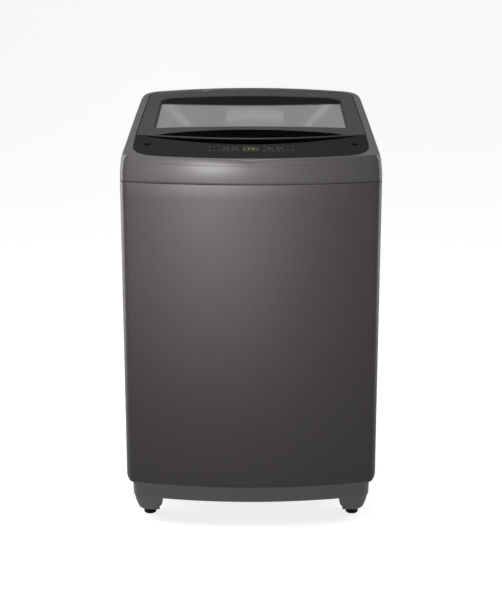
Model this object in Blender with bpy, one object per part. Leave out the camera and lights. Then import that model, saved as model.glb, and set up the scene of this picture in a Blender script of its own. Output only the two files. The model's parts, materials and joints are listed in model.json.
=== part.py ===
"""Top load washing machine, 590 x 606 x 960 mm, in metres.

X runs to the machine's right as seen from the front, -Y is the front and Z is up.
The origin is on the floor, under the middle of the machine.
"""

import math

import bmesh
import bpy
import numpy as np

# Driving dimensions
WIDTH = 0.590
DEPTH = 0.606
HEIGHT = 0.960
HALF_WIDTH = WIDTH / 2
FRONT_Y = -DEPTH / 2
REAR_Y = DEPTH / 2
BOW = 0.038
CORNER_X = 0.017
CORNER_Y = 0.030
REAR_CORNER = 0.014
SHEET = 0.001
PLASTIC = 0.004
GAP = 0.0003

# Heights
CABINET_BOTTOM = 0.110
SEAM_Z = 0.835
BASE_BOTTOM = 0.068
TOP_SLOPE = 0.090
TOP_CROWN = 0.0138
PANEL_FRONT_Y = FRONT_Y + 0.015
LEAN = 0.018
LEAN_HEIGHT = 0.105

# Top cover, lid and panel
DECK_DEPTH = 0.022
DECK_WALL = 0.0055
LID_THICKNESS = 0.018
PANEL_THICKNESS = 0.004
RIM = 0.019
LID_SEAM_Y = -0.100
LID_REAR_Y = 0.277
STRIP_Y = 0.2865
WINDOW_HALF = 0.2275
WINDOW_FRONT_Y = -0.046
WINDOW_REAR_Y = 0.220
GLASS_DROP = 0.0035
GLASS_THICKNESS = 0.005
LID_PIVOT_Y = 0.274
LID_PIVOT_Z = 0.949
LID_PIN_X = 0.105
LID_PIN_RADIUS = 0.0025

# Tub and drum, on one vertical axis
AXIS_Y = 0.028
TUB_RADIUS = 0.255
TUB_TOP = 0.800
TUB_BOTTOM = 0.235
DRUM_RADIUS = 0.232
DRUM_BOTTOM = 0.285
DRUM_TOP = 0.745
RING_TOP = 0.795
RING_INNER = 0.195
MOUTH_RADIUS = 0.1985
MOUTH_FRONT_Y = -0.088

# Suspension
ROD_PLACES = {
    "front_left": (-0.235, -0.215),
    "front_right": (0.235, -0.215),
    "rear_left": (-0.235, 0.245),
    "rear_right": (0.235, 0.245),
}
ROD_RADIUS = 0.003
ROD_BOTTOM = 0.262
ROD_PLATE = 0.004
LUG_BOTTOM = 0.345
BRACKET_Z = 0.806

# Feet
FOOT_X = 0.245
FOOT_PLACES = {
    "front_left": (-FOOT_X, -0.188),
    "front_right": (FOOT_X, -0.188),
    "rear_left": (-FOOT_X, 0.215),
    "rear_right": (FOOT_X, 0.215),
}
LEG_BOTTOM = 0.019
FLANGE_DEEP = 0.011

# Drain
DRAIN_X = -0.155
DRAIN_Y = -0.090
DRAIN_PIPE_Z = 0.093

# Buttons
BUTTON_PLACES = {"power_button": (-0.236, -0.181), "start_button": (0.236, -0.181)}
BUTTON_RADIUS = 0.0075
KEY_PLACES = {
    "program_key": -0.058,
    "water_key": -0.036,
    "rinse_key": 0.042,
    "spin_key": 0.064,
}
KEY_Y = -0.217

MATERIALS = {
    "painted_steel": ((0.075, 0.070, 0.070), 0.35, 0.6),
    "grey_plastic": ((0.090, 0.087, 0.087), 0.40, 0.3),
    "gloss_black": ((0.012, 0.012, 0.013), 0.15, 0.0),
    "lid_grey": ((0.060, 0.058, 0.058), 0.30, 0.3),
    "clear_glass": ((0.55, 0.57, 0.57), 0.05, 0.0),
    "display_lens": ((0.03, 0.04, 0.01), 0.10, 0.0),
    "key_black": ((0.020, 0.020, 0.021), 0.30, 0.0),
    "galvanised_steel": ((0.55, 0.56, 0.57), 0.40, 1.0),
    "stainless_steel": ((0.62, 0.62, 0.61), 0.25, 1.0),
    "white_plastic": ((0.75, 0.76, 0.76), 0.45, 0.0),
    "black_rubber": ((0.015, 0.015, 0.015), 0.80, 0.0),
    "cast_aluminium": ((0.60, 0.61, 0.62), 0.45, 1.0),
    "bearing_steel": ((0.50, 0.50, 0.51), 0.20, 1.0),
    "motor_iron": ((0.20, 0.12, 0.07), 0.50, 0.8),
    "board_green": ((0.02, 0.12, 0.05), 0.60, 0.0),
}


# Materials and objects


def material(slot):
    found = bpy.data.materials.get(slot)
    if found:
        return found
    colour, roughness, metallic = MATERIALS[slot]
    made = bpy.data.materials.new(slot)
    made.use_nodes = True
    shader = made.node_tree.nodes["Principled BSDF"]
    shader.inputs["Base Color"].default_value = (*colour, 1.0)
    shader.inputs["Roughness"].default_value = roughness
    shader.inputs["Metallic"].default_value = metallic
    return made


def solid(name, slot, points, faces, smooth=False):
    """An object from points and faces, with its faces turned outwards."""
    mesh = bpy.data.meshes.new(name)
    mesh.from_pydata([tuple(point) for point in points], [], faces)
    shape = bmesh.new()
    shape.from_mesh(mesh)
    bmesh.ops.recalc_face_normals(shape, faces=shape.faces[:])
    shape.to_mesh(mesh)
    shape.free()
    if smooth:
        mesh.shade_smooth()
        mesh.set_sharp_from_angle(angle=math.radians(30))
    made = bpy.data.objects.new(name, mesh)
    bpy.context.scene.collection.objects.link(made)
    if slot:
        mesh.materials.append(material(slot))
    return made


def hide(tool):
    tool.hide_render = True
    tool.display_type = "WIRE"


def boolean(target, tool, operation):
    modifier = target.modifiers.new(operation.lower(), "BOOLEAN")
    modifier.operation = operation
    modifier.solver = "EXACT"
    modifier.object = tool
    hide(tool)


def cut(target, *tools):
    for tool in tools:
        boolean(target, tool, "DIFFERENCE")


def join(target, *tools):
    for tool in tools:
        boolean(target, tool, "UNION")


def pivot(name, place):
    empty = bpy.data.objects.new(name, None)
    empty.location = place
    bpy.context.scene.collection.objects.link(empty)
    return empty


def hang(empty, *pieces):
    """Parents each piece to the empty and leaves it where it is."""
    for piece in pieces:
        piece.parent = empty
        piece.location = -empty.location


# Shapes


def block(name, slot, low, high):
    """A box between two corners."""
    corners = [(x, y, z) for z in (low[2], high[2]) for y in (low[1], high[1]) for x in (low[0], high[0])]
    faces = [(0, 2, 3, 1), (4, 5, 7, 6), (0, 1, 5, 4), (2, 6, 7, 3), (0, 4, 6, 2), (1, 3, 7, 5)]
    return solid(name, slot, corners, faces)


def loft(name, slot, rings, smooth=False):
    """Closed rings of equal count, joined one to the next, with flat ends."""
    count = len(rings[0])
    points = np.concatenate([np.asarray(ring, float) for ring in rings])
    faces = [tuple(range(count)), tuple(range(len(points) - count, len(points)))]
    for level in range(len(rings) - 1):
        for i in range(count):
            j = (i + 1) % count
            base = level * count
            faces.append((base + i, base + j, base + count + j, base + count + i))
    return solid(name, slot, points, faces, smooth)


def level(outline, z):
    return [(x, y, z) for x, y in outline]


def turned(name, slot, profile, centre=(0.0, 0.0), segments=40):
    """A closed profile of (radius, height) points turned about the vertical line at centre."""
    points = []
    rows = []
    turns = [2 * math.pi * (k + 0.5) / segments for k in range(segments)]
    for radius, height in profile:
        if radius == 0:
            rows.append([len(points)] * segments)
            points.append((centre[0], centre[1], height))
            continue
        rows.append([len(points) + k for k in range(segments)])
        points += [(centre[0] + radius * math.cos(a), centre[1] + radius * math.sin(a), height) for a in turns]
    faces = []
    for row, following in zip(rows, rows[1:] + rows[:1]):
        for k in range(segments):
            n = (k + 1) % segments
            corners = list(dict.fromkeys((row[k], row[n], following[n], following[k])))
            if len(corners) > 2:
                faces.append(tuple(corners))
    return solid(name, slot, points, faces, smooth=True)


def rod_along(name, slot, start, end, radius, segments=16):
    """A round bar between two points along X or Y."""
    axis = 0 if start[0] != end[0] else 1
    rings = []
    for place in (start, end):
        ring = []
        for k in range(segments):
            turn = 2 * math.pi * k / segments
            point = list(place)
            point[1 - axis] += radius * math.cos(turn)
            point[2] += radius * math.sin(turn)
            ring.append(point)
        rings.append(ring)
    return loft(name, slot, rings, smooth=True)


def prism(name, slot, outline, low, high):
    """The space over an outline between two height functions of x and y, split along X to follow the crown."""
    flat = bmesh.new()
    flat.faces.new([flat.verts.new((x, y, 0.0)) for x, y in outline])
    flat.normal_update()
    bmesh.ops.triangulate(flat, faces=flat.faces[:])
    for x in (-0.2, -0.1, 0.0, 0.1, 0.2):
        geometry = flat.verts[:] + flat.edges[:] + flat.faces[:]
        bmesh.ops.bisect_plane(flat, geom=geometry, dist=1e-5, plane_co=(x, 0, 0), plane_no=(1, 0, 0))
    bmesh.ops.triangulate(flat, faces=flat.faces[:])
    flat.verts.index_update()
    places = [(vert.co.x, vert.co.y) for vert in flat.verts]
    count = len(places)
    points = [(x, y, low(x, y)) for x, y in places] + [(x, y, high(x, y)) for x, y in places]
    faces = []
    for face in flat.faces:
        corners = [vert.index for vert in face.verts]
        faces.append(tuple(reversed(corners)))
        faces.append(tuple(corner + count for corner in corners))
    for edge in flat.edges:
        if len(edge.link_faces) == 1:
            a, b = (vert.index for vert in edge.verts)
            faces.append((a, b, b + count, a + count))
    flat.free()
    return solid(name, slot, points, faces)


# The outer form


def top_z(x, y):
    """Height of the machine's top skin: it rises to the back and is crowned across the width."""
    front = HEIGHT - TOP_CROWN - TOP_SLOPE * (REAR_Y - PANEL_FRONT_Y)
    along = min(max((y - FRONT_Y) / DEPTH, 0.0), 1.0)
    crown = TOP_CROWN * along * (1 - (x / 0.29) ** 2)
    return front + TOP_SLOPE * (y - PANEL_FRONT_Y) + crown


def under_top(drop):
    return lambda x, y: top_z(x, y) - drop


def at(z):
    return lambda x, y: z


def lean(z):
    """How far the top cover's walls have leant in at a height."""
    return LEAN * (max(z - SEAM_Z, 0.0) / LEAN_HEIGHT) ** 2


def arc(start, control, end, steps):
    """Points of a quadratic Bezier curve after its start."""
    points = []
    for k in range(1, steps + 1):
        t = k / steps
        points.append(
            tuple((1 - t) ** 2 * a + 2 * t * (1 - t) * b + t * t * c for a, b, c in zip(start, control, end))
        )
    return points


def mirrored(right):
    """A closed outline from its right half, which runs from the front middle to the rear middle."""
    return right + [(-x, y) for x, y in reversed(right) if abs(x) > 1e-9]


def front_bow(x, inset, half):
    return FRONT_Y + inset + BOW * (x / half) ** 2


def plan(inset=0.0, rear=REAR_Y, rear_corner=REAR_CORNER):
    """The machine's plan outline with its front and sides moved in by an inset."""
    half = HALF_WIDTH - inset
    last = half - CORNER_X
    right = [(last * k / 6, front_bow(last * k / 6, inset, half)) for k in range(7)]
    start = right[-1]
    slope = 2 * BOW * last / half**2
    right += arc(start, (half, start[1] + slope * CORNER_X), (half, start[1] + CORNER_Y), 3)
    right.append((half, rear - rear_corner))
    right += arc(right[-1], (half, rear), (half - rear_corner, rear), 3)
    right.append((0.0, rear))
    return mirrored(right)


def recess_front(x):
    """Front edge of the hand recess, where the control panel ends."""
    return -0.187 + 0.070 * (x / 0.24) ** 2


def lid_lip(x):
    """Front edge of the lid."""
    return min(LID_SEAM_Y, -0.141 + 0.041 * (x / 0.25) ** 2)


def lid_side(y, clearance=0.0):
    """Half width of the lid at a depth, measured in from the leaning side wall."""
    return HALF_WIDTH - lean(top_z(0.28, y)) - RIM + clearance


# Casing


def cabinet_shell():
    """The wrapped sheet: bowed front, both sides and two flanges that turn in at the back."""
    outer = plan(rear=0.300, rear_corner=0.004)
    inner = plan(SHEET, rear=0.300 - SHEET, rear_corner=0.003)
    shell = loft("cabinet_shell", "painted_steel", [level(outer, CABINET_BOTTOM), level(outer, SEAM_Z)], True)
    hollow = loft("cut_cabinet_hollow", None, [level(inner, 0.10), level(inner, 0.85)])
    door = block("cut_cabinet_back", None, (-0.265, 0.28, 0.10), (0.265, 0.31, 0.85))
    cut(shell, hollow, door)
    return shell


def back_cover():
    cover = block("back_cover", "galvanised_steel", (-0.288, 0.2977, 0.122), (0.288, 0.2987, 0.828))
    cord_hole = rod_along("cut_cord_hole", None, (0.20, 0.28, 0.20), (0.20, 0.31, 0.20), 0.0095)
    cut(cover, cord_hole)
    return cover


def cord_gland():
    """The bush where a supply cord passes the back cover, closed at its inner end."""
    flange = rod_along("cord_gland", "black_rubber", (0.20, 0.2990, 0.20), (0.20, 0.3015, 0.20), 0.0135)
    neck = rod_along("cut_gland_neck", None, (0.20, 0.286, 0.20), (0.20, 0.300, 0.20), 0.009)
    bore = rod_along("cut_gland_bore", None, (0.20, 0.289, 0.20), (0.20, 0.31, 0.20), 0.0045)
    join(flange, neck)
    cut(flange, bore)


def leg(name, place):
    """A tapered leg with rounded lower corners, over one foot."""
    side = math.copysign(1.0, place[0])
    toward_front = math.copysign(1.0, place[1])
    sections = (
        (0.105, 0.206, 0.2800, 0.040),
        (0.060, 0.211, 0.2785, 0.037),
        (0.036, 0.2175, 0.2745, 0.034),
        (0.026, 0.224, 0.2680, 0.029),
        (LEG_BOTTOM, 0.230, 0.2600, 0.024),
    )
    rings = []
    for z, inner, outer, half_depth in sections:
        corner = 0.008
        ring = []
        for sx, sy in ((1, -1), (1, 1), (-1, 1), (-1, -1)):
            x = outer if sx > 0 else inner
            ring_points = (
                [(x - sx * corner, sy * half_depth), (x, sy * (half_depth - corner))],
                [(x, sy * (half_depth - corner)), (x - sx * corner, sy * half_depth)],
            )[sx * sy > 0]
            ring += [(side * px, place[1] + toward_front * py, z) for px, py in ring_points]
        rings.append(ring)
    return loft(name, None, rings)


def base_frame():
    """Moulded base: a flange that carries the cabinet, a skirt and four legs."""
    frame = loft(
        "base_frame",
        "grey_plastic",
        [level(plan(0.003, rear=0.297), z) for z in (CABINET_BOTTOM - FLANGE_DEEP, CABINET_BOTTOM - GAP)],
    )
    skirt_plan = plan(0.013, rear=0.290)
    skirt = [level(skirt_plan, z) for z in (BASE_BOTTOM, CABINET_BOTTOM - 0.007)]
    join(frame, loft("add_skirt", None, skirt))
    well = plan(0.020, rear=0.283)
    cut(frame, loft("cut_base_well", None, [level(well, 0.05), level(well, 0.13)]))
    for corner, place in FOOT_PLACES.items():
        join(frame, leg("add_leg_" + corner, place))
    for corner, place in FOOT_PLACES.items():
        bore = [(0, 0.01), (0.0065, 0.01), (0.0065, 0.075), (0, 0.075)]
        cut(frame, turned("cut_foot_bore_" + corner, None, bore, place, 12))
    pipe_way = rod_along(
        "cut_pipe_way", None, (DRAIN_X, 0.24, DRAIN_PIPE_Z), (DRAIN_X, 0.31, DRAIN_PIPE_Z), 0.0165
    )
    cut(frame, pipe_way)


def leveling_feet():
    """A rubber pad moulded on a threaded stud, one under each leg."""
    profile = [
        (0, 0),
        (0.0135, 0),
        (0.0150, 0.003),
        (0.0150, 0.011),
        (0.0120, 0.015),
        (0.0120, LEG_BOTTOM - GAP),
        (0.0050, LEG_BOTTOM - GAP),
        (0.0050, 0.070),
        (0, 0.070),
    ]
    for corner, place in FOOT_PLACES.items():
        foot = turned("leveling_foot_" + corner, "black_rubber", profile, place, 16)
        hang(pivot("axis_foot_" + corner, (*place, 0)), foot)


# Top cover, panel and lid


def wall_rings(inset, low):
    """Plan outlines that lean in with height, from low to above the top skin."""
    heights = (SEAM_Z, 0.870, 0.900, 0.925, 0.950, 0.975)
    rings = [level(plan(inset + lean(z), REAR_Y - inset, 0.040 - inset / 2), z) for z in heights[1:]]
    first = plan(inset, REAR_Y - inset, 0.040 - inset / 2)
    return [level(first, low)] + rings


def lid_outline(clearance=0.0):
    """The lid's outline, or the pocket round it where there is a clearance."""
    front = [(x, lid_lip(x) - clearance) for x in np.linspace(0, 0.25, 8)]
    corner = lid_side(LID_SEAM_Y, clearance)
    right = front + [(corner, LID_SEAM_Y - clearance)]
    depths = np.linspace(-0.05, LID_REAR_Y - 0.03, 6)
    right += [(lid_side(y, clearance), y) for y in depths]
    rear = LID_REAR_Y + (STRIP_Y - LID_REAR_Y if clearance else 0.0)
    side = right[-1]
    right += arc(side, (side[0], rear), (side[0] - 0.03, rear), 4)
    right.append((0.0, rear))
    return mirrored([(float(x), float(y)) for x, y in right])


def panel_outline(inset=0.0):
    """The control panel: parallel to the bowed front, cut back by the hand recess."""
    half = 0.267 - inset
    y_front = PANEL_FRONT_Y - 0.004 + inset
    right = [(x, y_front + BOW * (x / HALF_WIDTH) ** 2) for x in np.linspace(0, 0.222, 8)]
    right += arc(right[-1], (half, right[-1][1] + 0.012), (half, -0.205), 5)
    right.append((half, LID_SEAM_Y - 0.004 - inset))
    right.append((0.242 + inset, LID_SEAM_Y - 0.004 - inset))
    right += [(x, recess_front(x) - inset) for x in np.linspace(0.24, 0, 11)]
    return mirrored([(float(x), float(y)) for x, y in right])


def recess_outline():
    """The hand recess, which runs a little way under the lid's front edge."""
    across = np.linspace(0, 0.235, 9)
    right = [(x, recess_front(x)) for x in across]
    right += [(x, -0.095) for x in (0.235, 0.0)]
    return mirrored([(float(x), float(y)) for x, y in right])


def bay_outline():
    """The room for the control board, under the panel and in front of the recess."""
    right = [(x, FRONT_Y + 0.024 + BOW * (x / HALF_WIDTH) ** 2) for x in np.linspace(0, 0.245, 7)]
    right += [(0.262, -0.225), (0.262, -0.150), (0.225, -0.150)]
    right += [(x, min(-0.150, recess_front(x) - 0.004)) for x in np.linspace(0.20, 0, 8)]
    return mirrored([(float(x), float(y)) for x, y in right])


def key_cut(name, x, half_x, half_y, low=0.86):
    return block(name, None, (x - half_x, KEY_Y - half_y, low), (x + half_x, KEY_Y + half_y, 0.95))


def round_cut(name, place, radius, low=0.80, high=1.0, segments=24):
    return turned(name, None, [(0, low), (radius, low), (radius, high), (0, high)], place, segments)


def mouth_outline(grow=0.0):
    """The loading mouth: a circle over the drum, cut off straight behind the hand recess."""
    radius = MOUTH_RADIUS + grow
    turn = math.asin((MOUTH_FRONT_Y - grow - AXIS_Y) / radius)
    turns = np.linspace(turn, math.pi - turn, 28)
    return [(radius * math.cos(a), AXIS_Y + radius * math.sin(a)) for a in turns]


def top_cover():
    """The moulded top: leaning walls, the deck under the lid, the mouth and its neck."""
    cover = loft("top_cover", "grey_plastic", wall_rings(0.0, SEAM_Z + GAP))
    wide = [(-0.32, -0.32), (0.32, -0.32), (0.32, 0.32), (-0.32, 0.32)]
    cut(cover, prism("cut_top_skin", None, wide, under_top(0), at(1.05)))
    hollow = loft("cut_cover_hollow", None, wall_rings(PLASTIC, 0.82))
    cut(hollow, prism("cut_deck_skin", None, wide, under_top(DECK_DEPTH + DECK_WALL), at(1.06)))
    neck = mouth_outline(PLASTIC)
    cut(hollow, loft("cut_neck_space", None, [level(neck, 0.80), level(neck, 1.10)]))
    cut(cover, hollow)
    for x in (-0.165, -0.125):
        cut(cover, rod_along(f"cut_inlet_{x}", None, (x, 0.28, 0.872), (x, 0.31, 0.872), 0.0145))
    cut(cover, prism("cut_lid_pocket", None, lid_outline(0.0012), under_top(DECK_DEPTH), at(1.0)))
    cut(cover, prism("cut_recess", None, recess_outline(), under_top(DECK_DEPTH + 0.002), at(1.0)))
    seat_floor = under_top(PANEL_THICKNESS + 0.0005)
    cut(cover, prism("cut_panel_seat", None, panel_outline(-0.0005), seat_floor, at(1.0)))
    cut(cover, prism("cut_board_bay", None, bay_outline(), at(0.84), under_top(0.009)))
    cut(cover, block("cut_display_way", None, (-0.085, -0.245, 0.86), (0.085, -0.200, 0.95)))
    for name, place in BUTTON_PLACES.items():
        cut(cover, round_cut("cut_way_" + name, place, 0.0085, 0.86, 0.95))
    mouth = mouth_outline()
    cut(cover, loft("cut_mouth", None, [level(mouth, 0.80), level(mouth, 1.00)]))
    cut(cover, block("cut_drawer_way", None, (-0.070, 0.17, 0.852), (0.070, 0.245, 0.897)))
    for side in (-1, 1):
        x_in, x_out = sorted((side * (LID_PIN_X + 0.001), side * (LID_PIN_X + 0.019)))
        ear = block(f"add_ear_{side}", None, (x_in, 0.2675, 0.925), (x_out, 0.292, LID_PIVOT_Z + 0.004))
        join(cover, ear)
    left, right = (-0.127, LID_PIVOT_Y, LID_PIVOT_Z), (0.127, LID_PIVOT_Y, LID_PIVOT_Z)
    pin_way = rod_along("cut_cover_pins", None, left, right, 0.0028, 12)
    cut(cover, pin_way)


def control_panel():
    panel = prism("control_panel", "gloss_black", panel_outline(), under_top(PANEL_THICKNESS), under_top(0))
    cut(panel, block("cut_display", None, (-0.0205, -0.2405, 0.86), (0.0205, -0.2005, 0.95)))
    for name, place in BUTTON_PLACES.items():
        cut(panel, round_cut("cut_seat_" + name, place, BUTTON_RADIUS + 0.0004, 0.86, 0.95))
    for name, x in KEY_PLACES.items():
        cut(panel, key_cut("cut_seat_" + name, x, 0.0084, 0.0054))


def display_window():
    outline = [(-0.020, -0.240), (0.020, -0.240), (0.020, -0.201), (-0.020, -0.201)]
    prism("display_window", "display_lens", outline, under_top(0.0035), under_top(0.0004))


def control_board():
    """The circuit board under the panel, which the buttons press on."""
    outline = [(-0.250, -0.238), (0.250, -0.238), (0.250, -0.165), (0.200, -0.165)]
    outline += [(0.150, -0.195), (-0.150, -0.195), (-0.200, -0.165), (-0.250, -0.165)]
    prism("control_board", "board_green", outline, under_top(0.0190), under_top(0.0174))


def round_buttons():
    """A button at each end of the panel: a cap, and a stem that reaches towards the board."""
    for name, place in BUTTON_PLACES.items():
        skin = top_z(*place)
        profile = [(0, -0.0150), (0.0030, -0.0150), (0.0030, -0.0060), (BUTTON_RADIUS, -0.0060)]
        profile += [(BUTTON_RADIUS, -0.0018), (0.0060, -0.0010), (0, -0.0016)]
        button = turned(name, "key_black", [(r, skin + z) for r, z in profile], place, 20)
        hang(pivot("axis_" + name, (*place, skin)), button)


def function_keys():
    """Flat keys beside the display, each with a stem to the board."""
    for name, x in KEY_PLACES.items():
        outline = [(x - 0.008, KEY_Y - 0.005), (x + 0.008, KEY_Y - 0.005), (x + 0.008, KEY_Y + 0.005)]
        outline.append((x - 0.008, KEY_Y + 0.005))
        key = prism(name, "key_black", outline, under_top(0.0050), under_top(0.0004))
        skin = top_z(x, KEY_Y)
        low, high = (x - 0.002, KEY_Y - 0.002, skin - 0.0155), (x + 0.002, KEY_Y + 0.002, skin - 0.003)
        join(key, block("add_stem_" + name, None, low, high))
        hang(pivot("axis_" + name, (x, KEY_Y, skin)), key)


def window_outline(inset=0.0):
    half = WINDOW_HALF - inset
    front = WINDOW_FRONT_Y + inset
    rear = WINDOW_REAR_Y - inset
    right = [(0.0, front), (half - 0.006, front)]
    right += arc(right[-1], (half, front), (half, front + 0.006), 3)
    right.append((half - 0.003, rear - 0.025))
    right += arc(right[-1], (half - 0.004, rear), (half - 0.030, rear), 4)
    right.append((0.0, rear))
    return mirrored(right)


def handle_rear(x):
    """Where the black handle band ends and the lid's grey frame begins."""
    return -0.066 - 0.034 * (x / 0.235) ** 2


def handle_outline(inset=0.0):
    """The crescent at the lid's front edge that the fingers lift."""
    across = np.linspace(0, 0.215, 8)
    right = [(x, lid_lip(x) + inset + 0.003) for x in across]
    right += [(x, handle_rear(x) - inset) for x in reversed(across)]
    return mirrored([(float(x), float(y)) for x, y in right])


def lid():
    """Frame, glass, handle band and hinge pins, which swing up about the rear axis."""
    frame = prism("lid_frame", "lid_grey", lid_outline(), under_top(LID_THICKNESS), under_top(0))
    cut(frame, prism("cut_window", None, window_outline(), under_top(0.03), at(1.0)))
    cut(frame, prism("cut_handle_seat", None, handle_outline(-0.0004), under_top(0.0085), at(1.0)))
    for side in (-1, 1):
        x_in, x_out = sorted((side * LID_PIN_X, side * (LID_PIN_X + 0.020)))
        cut(frame, block(f"cut_ear_way_{side}", None, (x_in, 0.2635, 0.90), (x_out, 0.29, 1.0)))
    left, right = (-0.1275, LID_PIVOT_Y, LID_PIVOT_Z), (0.1275, LID_PIVOT_Y, LID_PIVOT_Z)
    pin_way = rod_along("cut_lid_pins", None, left, right, 0.0028, 12)
    cut(frame, pin_way)
    glass_under, glass_over = under_top(GLASS_DROP + GLASS_THICKNESS), under_top(GLASS_DROP)
    glass = prism("lid_glass", "clear_glass", window_outline(0.0005), glass_under, glass_over)
    band = prism("lid_handle", "gloss_black", handle_outline(), under_top(0.008), under_top(0.0015))
    pins = []
    for name, side in (("hinge_pin_left", -1), ("hinge_pin_right", 1)):
        start = (side * (LID_PIN_X - 0.015), LID_PIVOT_Y, LID_PIVOT_Z)
        end = (side * (LID_PIN_X + 0.0215), LID_PIVOT_Y, LID_PIVOT_Z)
        pins.append(rod_along(name, "bearing_steel", start, end, LID_PIN_RADIUS, 12))
    hang(pivot("axis_lid", (0, LID_PIVOT_Y, LID_PIVOT_Z)), frame, glass, band, *pins)


# Water and controls under the top cover


def dispenser():
    """The housing under the deck at the back, and the drawer that slides out over the drum."""
    housing = block("dispenser_housing", "white_plastic", (-0.0745, 0.2335, 0.8465), (0.0745, 0.2920, 0.9030))
    cut(housing, block("cut_housing", None, (-0.0700, 0.20, 0.8520), (0.0700, 0.2890, 0.8980)))
    cut(housing, round_cut("cut_housing_spout", (0, 0.2480), 0.008, 0.84, 0.88, 12))
    drawer = block("detergent_drawer", "white_plastic", (-0.0660, 0.2165, 0.8550), (0.0660, 0.2860, 0.8930))
    cut(drawer, block("cut_drawer_cup", None, (-0.0630, 0.2205, 0.8580), (0.0630, 0.2830, 0.90)))
    hang(pivot("axis_drawer", (0, 0.2165, 0.8550)), drawer)


def inlet_valve():
    """Twin valve with a hot and a cold connector that open at the back."""
    valve = block("inlet_valve", "white_plastic", (-0.190, 0.245, 0.855), (-0.100, 0.285, 0.890))
    for x in (-0.165, -0.125):
        join(valve, rod_along(f"add_spigot_{x}", None, (x, 0.27, 0.872), (x, 0.3025, 0.872), 0.0125))
        cut(valve, rod_along(f"cut_spigot_{x}", None, (x, 0.275, 0.872), (x, 0.31, 0.872), 0.009))
    rod_along("fill_hose", "black_rubber", (-0.0997, 0.265, 0.875), (-0.0748, 0.265, 0.875), 0.009)


def small_controls():
    turned(
        "pressure_sensor",
        "white_plastic",
        [(0, 0.848), (0.006, 0.848), (0.006, 0.856), (0.022, 0.856), (0.022, 0.872), (0, 0.872)],
        (0.248, 0.100),
        24,
    )
    lock = block("lid_lock", "key_black", (-0.262, -0.090, 0.858), (-0.238, -0.030, 0.880))
    join(lock, block("add_lock_nose", None, (-0.256, -0.066, 0.875), (-0.244, -0.054, 0.884)))


# Suspension


def corner_brackets():
    """Gussets in the cabinet's top corners. Each has the hole that its rod hangs in."""
    for corner, (x, y) in ROD_PLACES.items():
        sx = math.copysign(1.0, x)
        sy = math.copysign(1.0, y)
        outline = [(x + sx * 0.052, y - sy * 0.045), (x + sx * 0.052, y + sy * 0.030)]
        outline += [(x + sx * 0.030, y + sy * 0.045), (x - sx * 0.045, y + sy * 0.045)]
        bracket = loft(
            "corner_bracket_" + corner,
            "galvanised_steel",
            [level(outline, BRACKET_Z), level(outline, BRACKET_Z + 0.003)],
        )
        cut(bracket, round_cut("cut_rod_way_" + corner, (x, y), 0.006, 0.78, 0.85, 16))


def suspension_rods():
    """A rod with a round head on its bracket and a plate for the spring at its foot."""
    head = BRACKET_Z + 0.003 + GAP
    plate = ROD_BOTTOM + ROD_PLATE
    profile = [(0, ROD_BOTTOM), (0.017, ROD_BOTTOM), (0.017, plate), (ROD_RADIUS, plate), (ROD_RADIUS, head)]
    profile += [(0.010, head), (0.010, head + 0.004), (0.006, head + 0.010), (0, head + 0.011)]
    for corner, place in ROD_PLACES.items():
        turned("suspension_rod_" + corner, "galvanised_steel", profile, place, 12)


def suspension_springs():
    """Helical springs between the rods' plates and the tub's lugs."""
    wire = 0.0016
    low = ROD_BOTTOM + ROD_PLATE + GAP + wire
    high = LUG_BOTTOM - GAP - wire
    turns = 4
    steps = 8 * turns
    for corner, (x, y) in ROD_PLACES.items():
        data = bpy.data.curves.new("suspension_spring_" + corner, "CURVE")
        data.dimensions = "3D"
        spline = data.splines.new("POLY")
        spline.points.add(steps)
        for k in range(steps + 1):
            turn = 2 * math.pi * turns * k / steps
            height = low + (high - low) * k / steps
            spline.points[k].co = (x + 0.0125 * math.cos(turn), y + 0.0125 * math.sin(turn), height, 1.0)
        data.bevel_depth = wire
        data.bevel_resolution = 0
        data.use_fill_caps = True
        data.materials.append(material("bearing_steel"))
        spring = bpy.data.objects.new("suspension_spring_" + corner, data)
        bpy.context.scene.collection.objects.link(spring)


# Tub


def outer_tub():
    """The water tub, with a lug over each spring and a drain hole in its floor."""
    wall = 0.003
    foot = TUB_RADIUS - 0.010
    profile = [(0.046, TUB_BOTTOM), (foot - 0.02, TUB_BOTTOM), (foot, TUB_BOTTOM + 0.02)]
    profile += [(TUB_RADIUS, TUB_TOP), (TUB_RADIUS - wall, TUB_TOP), (foot - wall, TUB_BOTTOM + 0.021)]
    profile += [(foot - 0.021, TUB_BOTTOM + wall), (0.046, TUB_BOTTOM + wall)]
    tub = turned("outer_tub", "white_plastic", profile, (0, AXIS_Y))
    for corner, (x, y) in ROD_PLACES.items():
        away = np.array((x, y - AXIS_Y)) / math.hypot(x, y - AXIS_Y)
        across = np.array((-away[1], away[0]))
        inner = np.array((0, AXIS_Y)) + away * (foot - 0.0005)
        outer = np.array((x, y)) + away * 0.018
        outline = [inner - across * 0.035, outer - across * 0.018]
        outline += [outer + across * 0.018, inner + across * 0.035]
        lug = loft("add_lug_" + corner, None, [level(outline, LUG_BOTTOM), level(outline, LUG_BOTTOM + 0.022)])
        join(tub, lug)
        cut(tub, round_cut("cut_lug_" + corner, (x, y), 0.0065, 0.30, 0.40, 16))
    cut(tub, round_cut("cut_tub_drain", (DRAIN_X, DRAIN_Y), 0.015, 0.20, 0.25, 16))
    return tub


def tub_cover():
    """The ring that closes the tub down to the drum's mouth."""
    low = TUB_TOP + GAP
    profile = [(RING_INNER + 0.004, low), (0.257, low), (0.257, low + 0.006), (0.225, low + 0.010)]
    profile += [(RING_INNER + 0.004, low + 0.010)]
    return turned("tub_cover", "white_plastic", profile, (0, AXIS_Y))


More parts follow.
